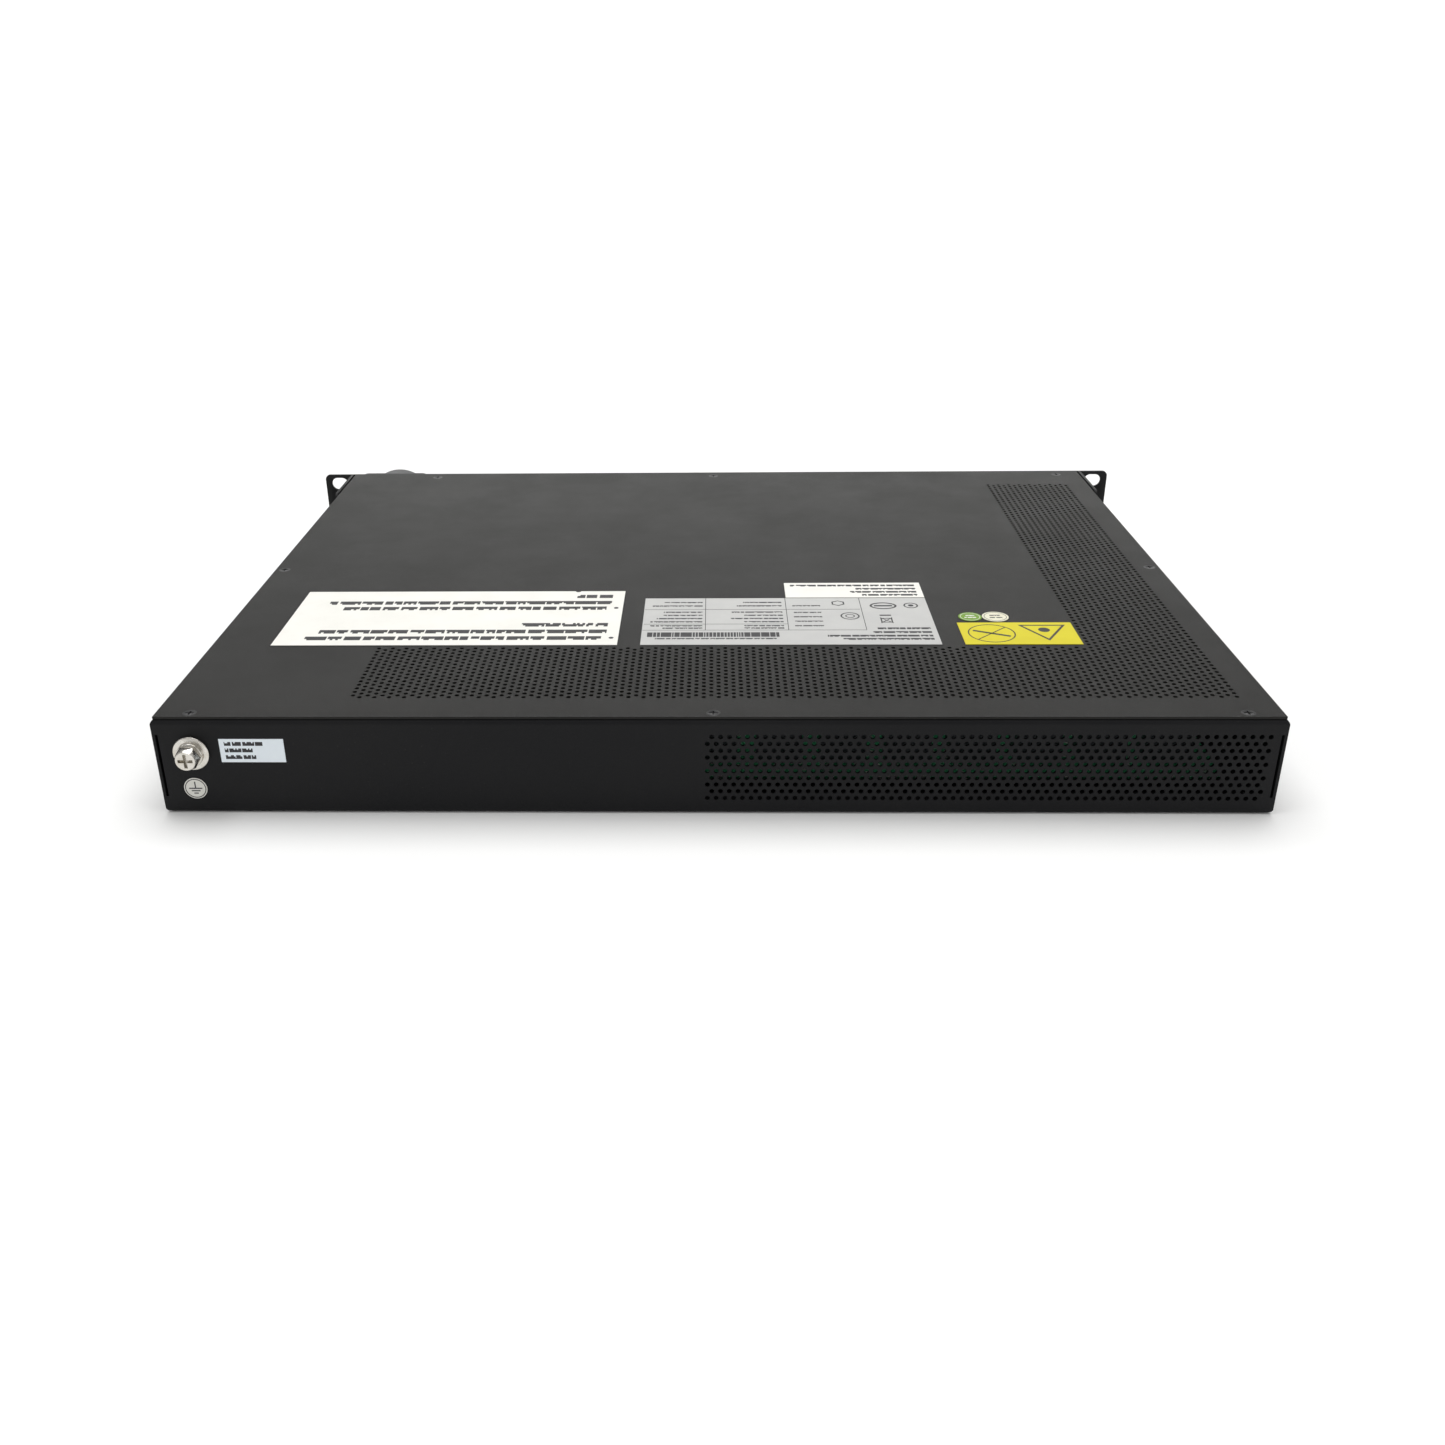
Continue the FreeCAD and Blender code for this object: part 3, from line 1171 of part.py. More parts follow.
def wiring():
    """Supply leads, ground lead with its lug, bank leads and the ribbon between the boards."""
    thick = size("lead_radius")
    floor = size("tray_wall") - size("body_height") / 2
    low = floor + thick + 1
    middle = size("body_width") / 2 - size("inlet_margin")
    start = size("inlet_back_depth") + 4
    back = size("body_depth") - size("panel_wall")
    board = back - size("relay_board_margin") - size("relay_board_depth")
    end = size("vent_side_margin") - size("body_width") / 2 + size("relay_count") * size("relay_pitch")
    top = floor + size("standoff_high") + size("board_thick")
    ring = size("blade_radius") - size("blade_wall") / 2
    leads = []
    for number, angle in enumerate((90, 210)):
        x = middle - ring * math.sin(math.radians(angle))
        z = ring * math.cos(math.radians(angle))
        aim = end - 6 - number * 9
        route = [(x, start, z), (x, start + 24, z), (x - 12, start + 52, low + 5),
                 (x - 16, start + 100, low), (x - 22, start + 150, low),
                 (aim + 16, board - 48, low + 2), (aim, board - 22, top + 6),
                 (aim, board + 8, top + thick + 2)]
        leads.append(lead(route, thick))
    thin = size("bank_lead_radius")
    depth = size("outlet_depth") + size("bar_thick")
    for number, x in enumerate(breaker_centres()):
        level = size("contact_spacing") / 2
        goal = x + 14 - 5 * number
        far = board - depth
        route = [(x + 22, depth, level), (x + 22, depth + 20, level), (x + 20, depth + 48, low + 3),
                 (x + 18, depth + far * 0.35, low), (goal, depth + far * 0.6, low + 1),
                 (goal, board - 24, top + 4), (goal, board + 5, top + thin + 1)]
        leads.append(lead(route, thin))
    power = doc.addObject("Part::Feature", "power_leads")
    power.Shape = Part.makeCompound(leads)
    keep(power, "power_leads")

    stud = (size("body_width") / 2 - size("stud_margin"), size("stud_rise"))
    lug_start = back - size("tray_wall") - size("lug_depth")
    deep = size("lug_depth")
    wide = size("lug_tongue_wide")
    long = size("lug_tongue_long")
    lug = Part.makeCylinder(size("lug_radius"), deep, Vector(stud[0], lug_start, stud[1]), Vector(0, 1, 0))
    tongue = Part.makeBox(wide, deep, long, Vector(stud[0] - wide / 2, lug_start, stud[1] - long))
    before = Vector(stud[0], lug_start - deep, stud[1])
    hole = Part.makeCylinder(size("stud_radius"), 3 * deep, before, Vector(0, 1, 0))
    beside = middle + ring * math.cos(math.radians(30))
    route = [(beside, start, -ring / 2), (beside, start + 22, -ring / 2), (beside + 3, start + 42, low + 4),
             (middle + 11, start + 85, low), (middle + 5, start + 135, low), (middle + 8, start + 190, low),
             (stud[0] - 1, lug_start - 60, low), (stud[0], lug_start - 22, low + 1),
             (stud[0], lug_start, stud[1] - 12)]
    cable = lead(route, thick)
    ground = doc.addObject("Part::Feature", "ground_lead")
    ground.Shape = lug.fuse(tongue).cut(hole).fuse(cable)
    keep(ground, "ground_lead")

    left = size("control_margin") - size("body_width") / 2 + 16
    leave = size("flange_width") + 2 + size("control_depth") - 14
    rest = size("ribbon_thick") / 2
    side = [Vector(left, leave, top + rest), Vector(left, leave + 26, top + 3),
            Vector(left, leave + 62, floor + 2), Vector(left, leave + 104, floor + 2),
            Vector(left, board - 28, floor + 4), Vector(left, board - 6, top + 4),
            Vector(left, board + 14, top + rest + 0.5)]
    path = rounded_path(side)
    half = size("ribbon_thick") / 2
    wide = size("ribbon_wide")
    run = (side[1] - side[0]).normalize()
    up = Vector(0, -run.z, run.y) * half
    across = Vector(wide, 0, 0)
    corners = [side[0] - up, side[0] + across - up, side[0] + across + up, side[0] + up]
    profile = Part.makePolygon(corners + corners[:1])
    ribbon = doc.addObject("Part::Feature", "ribbon_cable")
    ribbon.Shape = swept(path, profile)
    keep(ribbon, "ribbon_cable")


# ---------------------------------------------------------------- checking and writing
def check_and_write():
    """Looks for anything that failed, then writes one file for each sub-part."""
    doc.recompute()
    failed = []
    for item in doc.Objects:
        if "Invalid" in item.State or "Error" in item.State:
            failed.append(item.Name)
    for item in nodes:
        if item.Shape.isNull() or not item.Shape.isValid() or not item.Shape.Solids:
            failed.append(item.Label)
    if failed:
        raise RuntimeError("failed: " + ", ".join(failed))
    os.makedirs("parts", exist_ok=True)
    for item in nodes:
        item.Shape.exportStep("parts/%s.step" % item.Label)
    print("wrote %d sub-parts" % len(nodes))


fill_sheet()
chassis_tray()
top_cover()
front_panel()
rack_ears()
case_screws()
ground_stud()
labels()
power_inlet()
outlets()
bus_bars()
breakers()
network_jacks()
panel_controls()
boards()
wiring()
check_and_write()
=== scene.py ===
import json
import math
import random

import bmesh
import bpy
from mathutils import Matrix, Quaternion, Vector


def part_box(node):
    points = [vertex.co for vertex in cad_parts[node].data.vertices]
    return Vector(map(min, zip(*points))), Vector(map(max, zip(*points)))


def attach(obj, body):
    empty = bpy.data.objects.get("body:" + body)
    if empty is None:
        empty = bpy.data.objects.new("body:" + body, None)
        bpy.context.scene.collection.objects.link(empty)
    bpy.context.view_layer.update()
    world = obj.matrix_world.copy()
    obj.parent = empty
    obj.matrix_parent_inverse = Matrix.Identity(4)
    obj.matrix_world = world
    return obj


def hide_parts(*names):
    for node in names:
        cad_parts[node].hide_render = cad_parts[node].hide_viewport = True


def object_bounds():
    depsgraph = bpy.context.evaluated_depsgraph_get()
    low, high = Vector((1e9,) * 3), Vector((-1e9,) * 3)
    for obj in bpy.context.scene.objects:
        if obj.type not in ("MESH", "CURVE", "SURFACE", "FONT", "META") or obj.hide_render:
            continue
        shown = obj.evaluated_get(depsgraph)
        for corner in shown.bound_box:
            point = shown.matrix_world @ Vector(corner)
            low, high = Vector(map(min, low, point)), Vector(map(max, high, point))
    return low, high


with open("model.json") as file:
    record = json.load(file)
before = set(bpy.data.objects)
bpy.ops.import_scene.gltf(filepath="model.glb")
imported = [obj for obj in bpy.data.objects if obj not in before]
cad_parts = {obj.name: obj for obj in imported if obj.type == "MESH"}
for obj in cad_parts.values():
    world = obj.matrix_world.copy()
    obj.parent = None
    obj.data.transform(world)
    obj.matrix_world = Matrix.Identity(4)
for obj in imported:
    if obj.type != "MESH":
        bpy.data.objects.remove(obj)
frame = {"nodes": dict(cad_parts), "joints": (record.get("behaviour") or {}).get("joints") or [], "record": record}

cad_low, cad_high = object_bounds()
MM = 0.001


# ---- Studio: pale sweep, soft light and the view from behind
# A wide pale floor that curves up behind the unit, one broad soft box above it
# and one at the far side, whose glow lies on the cover, and the camera.
FLOOR_WIDE = 14.0
FLOOR_NEAR = 5.0
FLOOR_FAR = -5.0
SWEEP_HIGH = 1.8
SWEEP_BEND = 0.9
SWEEP_SEGMENTS = 16
AIR_STRENGTH = 0.42
EDGE_TOLERANCE = 0.01


def only(piece):
    """Selects one object and makes it the active one."""
    bpy.ops.object.select_all(action="DESELECT")
    piece.select_set(True)
    bpy.context.view_layer.objects.active = piece


def plain_shader(name, colour, roughness, metallic=0.0):
    """A material whose plain values are set on its own Principled shader."""
    material = bpy.data.materials.new(name)
    material.use_nodes = True
    shader = material.node_tree.nodes["Principled BSDF"]
    shader.inputs["Base Color"].default_value = (*colour, 1)
    shader.inputs["Roughness"].default_value = roughness
    shader.inputs["Metallic"].default_value = metallic
    return material, material.node_tree, shader


def effect(name, inputs, outputs):
    """An empty node group with named inputs and outputs."""
    group = bpy.data.node_groups.new(name, "ShaderNodeTree")
    for label, value in inputs:
        kind = "NodeSocketColor" if isinstance(value, tuple) else "NodeSocketFloat"
        socket = group.interface.new_socket(label, in_out="INPUT", socket_type=kind)
        socket.default_value = value
    for label, kind in outputs:
        group.interface.new_socket(label, in_out="OUTPUT", socket_type=kind)
    return group, group.nodes.new("NodeGroupInput"), group.nodes.new("NodeGroupOutput")


def add_node(tree, kind, settings=None, **values):
    """A node with some settings, and plain values on some of its sockets."""
    node = tree.nodes.new(kind)
    for label, setting in (settings or {}).items():
        setattr(node, label, setting)
    for label, value in values.items():
        node.inputs[label.replace("_", " ")].default_value = value
    return node


def math_node(tree, operation, first, second):
    """A sum, product or other simple operation of two sockets or numbers."""
    node = tree.nodes.new("ShaderNodeMath")
    node.operation = operation
    for socket, value in zip(node.inputs, (first, second)):
        if isinstance(value, (int, float)):
            socket.default_value = value
        else:
            tree.links.new(value, socket)
    return node.outputs[0]


MIX_SHARE, MIX_FIRST, MIX_SECOND, MIX_RESULT = 0, 6, 7, 2


def use_effect(tree, group, **values):
    """Places a group in a material with its own values."""
    node = tree.nodes.new("ShaderNodeGroup")
    node.node_tree = group
    for label, value in values.items():
        socket = node.inputs[label.replace("_", " ")]
        socket.default_value = (*value, 1) if isinstance(value, tuple) else value
    return node


def soft_tones():
    """Two close colours in broad clouds, as on any handled surface."""
    group, give, take = effect(
        "soft_tones",
        [("First", (0.5, 0.5, 0.5, 1)), ("Second", (0.4, 0.4, 0.4, 1)), ("Size", 20.0)],
        [("Colour", "NodeSocketColor"), ("Mask", "NodeSocketFloat")])
    place = group.nodes.new("ShaderNodeTexCoord")
    noise = add_node(group, "ShaderNodeTexNoise", Detail=4.0, Roughness=0.6)
    group.links.new(place.outputs["Object"], noise.inputs["Vector"])
    group.links.new(give.outputs["Size"], noise.inputs["Scale"])
    spread = add_node(group, "ShaderNodeMapRange", From_Min=0.35, From_Max=0.65)
    group.links.new(noise.outputs["Fac"], spread.inputs["Value"])
    mix = add_node(group, "ShaderNodeMix", {"data_type": "RGBA"})
    group.links.new(spread.outputs["Result"], mix.inputs[MIX_SHARE])
    group.links.new(give.outputs["First"], mix.inputs[MIX_FIRST])
    group.links.new(give.outputs["Second"], mix.inputs[MIX_SECOND])
    group.links.new(mix.outputs[MIX_RESULT], take.inputs["Colour"])
    group.links.new(spread.outputs["Result"], take.inputs["Mask"])
    return group


def surface_grain():
    """Fine grain: a height for a Bump node and a roughness that follows it."""
    group, give, take = effect(
        "surface_grain",
        [("Size", 1500.0), ("Depth", 1.0), ("Low", 0.4), ("High", 0.6)],
        [("Height", "NodeSocketFloat"), ("Roughness", "NodeSocketFloat")])
    place = group.nodes.new("ShaderNodeTexCoord")
    noise = add_node(group, "ShaderNodeTexNoise", Detail=3.0, Roughness=0.55)
    group.links.new(place.outputs["Object"], noise.inputs["Vector"])
    group.links.new(give.outputs["Size"], noise.inputs["Scale"])
    group.links.new(math_node(group, "MULTIPLY", noise.outputs["Fac"], give.outputs["Depth"]),
                    take.inputs["Height"])
    broad = add_node(group, "ShaderNodeTexNoise", Scale=28.0, Detail=5.0, Roughness=0.65)
    group.links.new(place.outputs["Object"], broad.inputs["Vector"])
    spread = add_node(group, "ShaderNodeMapRange", From_Min=0.3, From_Max=0.7)
    group.links.new(broad.outputs["Fac"], spread.inputs["Value"])
    group.links.new(give.outputs["Low"], spread.inputs["To Min"])
    group.links.new(give.outputs["High"], spread.inputs["To Max"])
    group.links.new(spread.outputs["Result"], take.inputs["Roughness"])
    return group


TONES = soft_tones()
GRAIN = surface_grain()


BUMP_DEPTH = 0.2 * MM


def finish(name, first, second, low, high, grain=1500.0, bump=0.1, metallic=0.0, size=20.0):
    """A finish of two close tones with fine grain, its roughness between two values."""
    material, tree, shader = plain_shader(name, first, low, metallic)
    tones = use_effect(tree, TONES, First=first, Second=second, Size=size)
    tree.links.new(tones.outputs["Colour"], shader.inputs["Base Color"])
    surface = use_effect(tree, GRAIN, Size=grain, Depth=1.0, Low=low, High=high)
    tree.links.new(surface.outputs["Roughness"], shader.inputs["Roughness"])
    relief = add_node(tree, "ShaderNodeBump", Strength=bump, Distance=BUMP_DEPTH)
    tree.links.new(surface.outputs["Height"], relief.inputs["Height"])
    tree.links.new(relief.outputs["Normal"], shader.inputs["Normal"])
    return material


bpy.ops.mesh.primitive_plane_add(size=1)
studio_floor = bpy.context.object
studio_floor.name = "studio_floor"
only(studio_floor)
bpy.ops.transform.resize(value=(FLOOR_WIDE, FLOOR_NEAR - FLOOR_FAR, 1))
bpy.ops.transform.translate(value=(0, (FLOOR_NEAR + FLOOR_FAR) / 2, cad_low.z))
bpy.ops.object.transform_apply(location=True, rotation=True, scale=True)
bpy.ops.object.mode_set(mode="EDIT")
bpy.ops.mesh.select_all(action="DESELECT")
shape = bmesh.from_edit_mesh(studio_floor.data)
for vertex in shape.verts:
    vertex.select = vertex.co.y < FLOOR_FAR + EDGE_TOLERANCE
shape.select_flush(True)
bmesh.update_edit_mesh(studio_floor.data)
bpy.ops.mesh.extrude_region_move(TRANSFORM_OT_translate={"value": (0, 0, SWEEP_HIGH)})
bpy.ops.object.mode_set(mode="OBJECT")
bend = studio_floor.modifiers.new("sweep", "BEVEL")
bend.width = SWEEP_BEND
bend.segments = SWEEP_SEGMENTS
bend.limit_method = "ANGLE"
bpy.ops.object.modifier_apply(modifier=bend.name)
bpy.ops.object.shade_smooth()
pale_paper = finish(
    "pale_paper", (0.86, 0.86, 0.85), (0.84, 0.84, 0.835),
    low=0.75, high=0.85, bump=0.02, size=3.0)
studio_floor.data.materials.append(pale_paper)

for name, place, aim, wide, high, power in (
        ("soft_box_above", (0.0, -0.3, 2.8), (0.0, 0.1, 0.0), 3.2, 2.6, 88),
        ("sweep_light", (0.0, -2.6, 2.6), (0.0, -5.0, 0.6), 6.0, 0.8, 150),
        ("soft_box_left", (2.6, 1.2, 1.5), (0.1, 0.2, 0.0), 1.4, 1.4, 7),
        ("soft_box_right", (-2.6, 1.4, 1.7), (-0.1, 0.2, 0.0), 1.4, 1.4, 7)):
    bpy.ops.object.light_add(type="AREA", location=place)
    lamp = bpy.context.object
    lamp.name = name
    lamp.data.shape = "RECTANGLE"
    lamp.data.size = wide
    lamp.data.size_y = high
    lamp.data.energy = power
    lamp.rotation_euler = (Vector(aim) - Vector(place)).to_track_quat("-Z", "Y").to_euler()

world = bpy.data.worlds.new("studio_air")
world.use_nodes = True
world.node_tree.nodes["Background"].inputs["Color"].default_value = (1.0, 1.0, 1.0, 1)
world.node_tree.nodes["Background"].inputs["Strength"].default_value = AIR_STRENGTH
bpy.context.scene.world = world
bpy.context.scene.view_settings.view_transform = "Standard"

LENS = 34.518
SENSOR_WIDE = 36
CLIP_NEAR = 0.01
VIEW_FROM = (0.00009, 0.83694, 0.25638)
VIEW_ALONG = (0.02795, -0.8994, -0.4363)
VIEW_ROLL = -0.775
VIEW_SHIFT = 0.03328
bpy.ops.object.camera_add(location=VIEW_FROM)
camera = bpy.context.object
camera.name = "view_from_behind"
camera.data.sensor_width = SENSOR_WIDE
camera.data.lens = LENS
camera.data.shift_x = VIEW_SHIFT
camera.data.clip_start = CLIP_NEAR
turned = Vector(VIEW_ALONG).to_track_quat("-Z", "Y")
camera.rotation_euler = (turned @ Quaternion((0, 0, 1), math.radians(VIEW_ROLL))).to_euler()
bpy.context.scene.camera = camera


# ---- Folded case: floor, sides, back wall and ledges
# One sheet of 1.2 mm steel, bent and powder coated black with a fine dry texture.
# Its back wall has staggered round vents; the inside shows the same coat. Its black is tinted bluish as painted
# cool light on the back wall.
# The two case tones below are tinted bluish: painted cool light that falls on the back wall.
CASE_BLACK_COOL_LIT = (0.0068, 0.0070, 0.0082)
CASE_WORN_COOL_LIT = (0.0095, 0.0096, 0.0104)
COAT_DUST = (0.085, 0.08, 0.072)
COAT_SPECULAR = 0.15
COAT_CLOUDS = 14.0
FILM_SHARE = 0.08

BODIES = {}
for body, members in frame["record"]["behaviour"]["bodies"].items():
    for member in members:
        BODIES[member] = body


def dress(node, material):
    """Gives a CAD piece its finish, in every one of its material slots."""
    mesh = frame["nodes"][node].data
    if not mesh.materials:
        mesh.materials.append(material)
    for slot in frame["nodes"][node].material_slots:
        slot.link = "OBJECT"
        slot.material = material


def settle(piece, name, node, material, replaces=False):
    """Names a new piece, paints it, and makes it ride with the body of a CAD piece, hiding that piece when it
    stands for it.
    """
    piece.name = name
    piece.data.name = name
    piece.data.materials.clear()
    piece.data.materials.append(material)
    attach(piece, BODIES[node])
    if replaces:
        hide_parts(node)


def dust_specks():
    """Sparse pale specks and faint smears, as dust on a dark coat."""
    group, give, take = effect(
        "dust_specks", [("Size", 260.0), ("Amount", 0.2)], [("Mask", "NodeSocketFloat")])
    place = group.nodes.new("ShaderNodeTexCoord")
    cells = add_node(group, "ShaderNodeTexVoronoi", {"feature": "F1"}, Randomness=1.0)
    group.links.new(place.outputs["Object"], cells.inputs["Vector"])
    group.links.new(give.outputs["Size"], cells.inputs["Scale"])
    dot = add_node(group, "ShaderNodeMapRange", From_Min=0.1, From_Max=0.03)
    group.links.new(cells.outputs["Distance"], dot.inputs["Value"])
    smear = add_node(group, "ShaderNodeTexNoise", Scale=9.0, Detail=6.0, Roughness=0.7, Distortion=0.8)
    group.links.new(place.outputs["Object"], smear.inputs["Vector"])
    cloud = add_node(group, "ShaderNodeMapRange", From_Min=0.45, From_Max=0.75)
    group.links.new(smear.outputs["Fac"], cloud.inputs["Value"])
    patchy = math_node(group, "MULTIPLY", dot.outputs["Result"], cloud.outputs["Result"])
    film = math_node(group, "MULTIPLY", cloud.outputs["Result"], FILM_SHARE)
    both = math_node(group, "ADD", patchy, film)
    group.links.new(math_node(group, "MULTIPLY", both, give.outputs["Amount"]), take.inputs["Mask"])
    return group


DUST = dust_specks()


def dusty_coat(name, first, second, dust, amount, low, high, grain, bump):
    """A dark coat with fine texture, close tones and a little dust on it."""
    material = finish(name, first, second, low, high, grain, bump, size=COAT_CLOUDS)
    tree = material.node_tree
    shader = tree.nodes["Principled BSDF"]
    tones = shader.inputs["Base Color"].links[0].from_node
    specks = use_effect(tree, DUST, Amount=amount)
    mix = add_node(tree, "ShaderNodeMix", {"data_type": "RGBA"})
    mix.inputs[MIX_SECOND].default_value = (*dust, 1)
    tree.links.new(specks.outputs["Mask"], mix.inputs[MIX_SHARE])
    tree.links.new(tones.outputs["Colour"], mix.inputs[MIX_FIRST])
    tree.links.new(mix.outputs[MIX_RESULT], shader.inputs["Base Color"])
    shader.inputs["Specular IOR Level"].default_value = COAT_SPECULAR
    return material


# The case coat's bluish tint is painted cool light on the back wall.
case_coat_cool_lit = dusty_coat(
    "case_coat_cool_lit", CASE_BLACK_COOL_LIT, CASE_WORN_COOL_LIT, COAT_DUST,
    amount=0.22, low=0.42, high=0.5, grain=2600.0, bump=0.35)
dress("chassis_tray", case_coat_cool_lit)


# ---- Vented cover
# A flat 1 mm steel lid with two bands of punched 2 mm vents, 3.5 mm apart in
# staggered rows, sunk seats for its screws, and the same black coat as the case,
# painted lighter and warmer on the lid as the warm light that falls on it from above.
VENT_RADIUS = 1.0 * MM
VENT_PITCH = 3.512 * MM
VENT_SIDES = 12
BAND_COLUMNS = 118
BAND_ROWS = 30
SIDE_COLUMNS = 16
ALL_ROWS = 172
SIDE_MARGIN = 14.5 * MM
BACK_MARGIN = 19.3 * MM
SEAT_RADIUS = 2.85 * MM
SEAT_SIDES = 24
TILE_CORNERS = 6
MERGE_REACH = 0.02 * MM
ROW_REACH = 0.01 * MM
SCREW_REACH = 10 * MM

# The two cover tones below are lighter and warmer than the case's: painted warm light from above.
COVER_BLACK_WARM_LIT = (0.0112, 0.0108, 0.0098)
COVER_WORN_WARM_LIT = (0.0155, 0.0150, 0.0138)

cover_coat_warm_lit = dusty_coat(
    "cover_coat_warm_lit", COVER_BLACK_WARM_LIT, COVER_WORN_WARM_LIT, COAT_DUST,
    amount=0.25, low=0.40, high=0.48, grain=2600.0, bump=0.35)
cover_low, cover_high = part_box("top_cover")
step_across = VENT_PITCH * math.sqrt(3) / 2
step_along = VENT_PITCH / 2
case_low, case_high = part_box("chassis_tray")
first_x = case_low.x + SIDE_MARGIN
first_y = case_high.y - BACK_MARGIN


def pick(piece, wanted):
    """Selects, in edit mode, only the edges that a test accepts."""
    bpy.ops.mesh.select_all(action="DESELECT")
    shape = bmesh.from_edit_mesh(piece.data)
    for edge in shape.edges:
        if wanted(edge):
            edge.select = True
    shape.select_flush(True)
    bmesh.update_edit_mesh(piece.data)


def vent_tile():
    """One vent in a flat brick of sheet whose six corners meet the next bricks."""
    bpy.ops.object.select_all(action="DESELECT")
    bpy.ops.mesh.primitive_circle_add(vertices=TILE_CORNERS, radius=1)
    tile = bpy.context.object
    bpy.ops.object.mode_set(mode="EDIT")
    shape = bmesh.from_edit_mesh(tile.data)
    half = step_across / 2
    corners = ((half, step_along), (-half, step_along), (-half, 0),
               (-half, -step_along), (half, -step_along), (half, 0))
    for vertex, corner in zip(shape.verts, corners):
        vertex.co = (*corner, 0)
    bmesh.update_edit_mesh(tile.data)
    bpy.ops.mesh.primitive_circle_add(vertices=VENT_SIDES, radius=VENT_RADIUS)
    bpy.ops.mesh.mark_sharp()
    bpy.ops.mesh.select_all(action="SELECT")
    bpy.ops.mesh.bridge_edge_loops()
    bpy.ops.object.mode_set(mode="OBJECT")
    return tile


def repeat(piece, step, count):
    """Repeats a piece along a step, merged where the copies meet, and applies it."""
    only(piece)
    row = piece.modifiers.new("row", "ARRAY")
    row.use_relative_offset = False
    row.use_constant_offset = True
    row.constant_offset_displace = step
    row.count = count
    row.use_merge_vertices = True
    row.merge_threshold = ROW_REACH
    bpy.ops.object.modifier_apply(modifier=row.name)


def vent_field(columns, rows, top):
    """A staggered field of vents whose upper left vent column starts at a row."""
    field = vent_tile()
    only(field)
    bpy.ops.object.duplicate()
    neighbour = bpy.context.object
    bpy.ops.transform.translate(value=(step_across, -step_along, 0))
    field.select_set(True)
    bpy.context.view_layer.objects.active = field
    bpy.ops.object.join()
    repeat(field, (2 * step_across, 0, 0), columns // 2)
    repeat(field, (0, -2 * step_along, 0), rows // 2)
    field.location = (first_x, first_y - top * step_along, 0)
    only(field)
    bpy.ops.object.transform_apply(location=True, rotation=True, scale=True)
    return field


cover_sheet = vent_field(BAND_COLUMNS, BAND_ROWS, 0)
side_band = vent_field(SIDE_COLUMNS, ALL_ROWS - BAND_ROWS, BAND_ROWS)
only(side_band)
cover_sheet.select_set(True)
bpy.context.view_layer.objects.active = cover_sheet
bpy.ops.object.join()
bpy.ops.object.mode_set(mode="EDIT")
bpy.ops.mesh.select_all(action="SELECT")
bpy.ops.mesh.remove_doubles(threshold=MERGE_REACH)
screw_mesh = frame["nodes"]["cover_screws"].data


def clusters(points, reach):
    """Centres of groups of points that lie closer together than a reach."""
    groups = []
    for point in points:
        for group in groups:
            if (group[0] - point).length < reach:
                group.append(point)
                break
        else:
            groups.append([point])
    centres = []
    for group in groups:
        low = Vector((min(p.x for p in group), min(p.y for p in group)))
        high = Vector((max(p.x for p in group), max(p.y for p in group)))
        centres.append((low + high) / 2)
    return centres


cover_screw_spots = clusters([vertex.co.xy for vertex in screw_mesh.vertices], SCREW_REACH)
middle = (cover_low + cover_high) / 2
size = cover_high - cover_low
bpy.ops.mesh.primitive_plane_add(size=1)
bpy.ops.transform.resize(value=(size.x, size.y, 1), center_override=(0, 0, 0))
bpy.ops.transform.translate(value=(middle.x, middle.y, 0))
bpy.ops.mesh.delete(type="ONLY_FACE")
for spot in cover_screw_spots:
    bpy.ops.mesh.primitive_circle_add(vertices=SEAT_SIDES, radius=SEAT_RADIUS, location=(spot.x, spot.y, 0))
pick(cover_sheet, lambda edge: (edge.is_boundary or edge.is_wire) and edge.smooth)
bpy.ops.mesh.fill(use_beauty=False)
bpy.ops.mesh.select_all(action="SELECT")
bpy.ops.mesh.remove_doubles(threshold=MERGE_REACH)
bpy.ops.mesh.normals_make_consistent(inside=False)
bpy.ops.mesh.mark_sharp(clear=True)
bpy.ops.transform.translate(value=(0, 0, cover_high.z))
bpy.ops.mesh.extrude_region_move(TRANSFORM_OT_translate={"value": (0, 0, -size.z)})
bpy.ops.mesh.select_all(action="SELECT")
bpy.ops.mesh.normals_make_consistent(inside=False)
bpy.ops.object.mode_set(mode="OBJECT")
settle(cover_sheet, "vented_cover", "top_cover", cover_coat_warm_lit, replaces=True)


# ---- Front panel and rack ears
# The panel is 1.5 mm steel with two flanges; each ear is a bent bracket with two
# open slots, screwed to the side of the case. Both have a smoother satin black coat.
PANEL_BLACK = (0.0095, 0.0096, 0.0105)
PANEL_WORN = (0.014, 0.0138, 0.0135)
EAR_EDGE = 0.35 * MM
WELD_REACH = 0.001 * MM
FLAT_ANGLE = 0.6
EDGE_ANGLE = 34
SMOOTH_ANGLE = 35


def softened(node, width, material, segments=2):
    """A copy of a CAD piece with its edges rounded over, which stands for it."""
    mesh = frame["nodes"][node].data.copy()
    piece = bpy.data.objects.new(node + "_finished", mesh)
    bpy.context.scene.collection.objects.link(piece)
    only(piece)
    bpy.ops.object.mode_set(mode="EDIT")
    bpy.ops.mesh.select_all(action="SELECT")
    bpy.ops.mesh.remove_doubles(threshold=WELD_REACH)
    bpy.ops.mesh.dissolve_limited(angle_limit=math.radians(FLAT_ANGLE))
    bpy.ops.object.mode_set(mode="OBJECT")
    edge = piece.modifiers.new("edge", "BEVEL")
    edge.width = width
    edge.segments = segments
    edge.limit_method = "ANGLE"
    edge.angle_limit = math.radians(EDGE_ANGLE)
    bpy.ops.object.modifier_apply(modifier=edge.name)
    bpy.ops.object.shade_smooth_by_angle(angle=math.radians(SMOOTH_ANGLE))
    settle(piece, node + "_finished", node, material, replaces=True)
    return piece


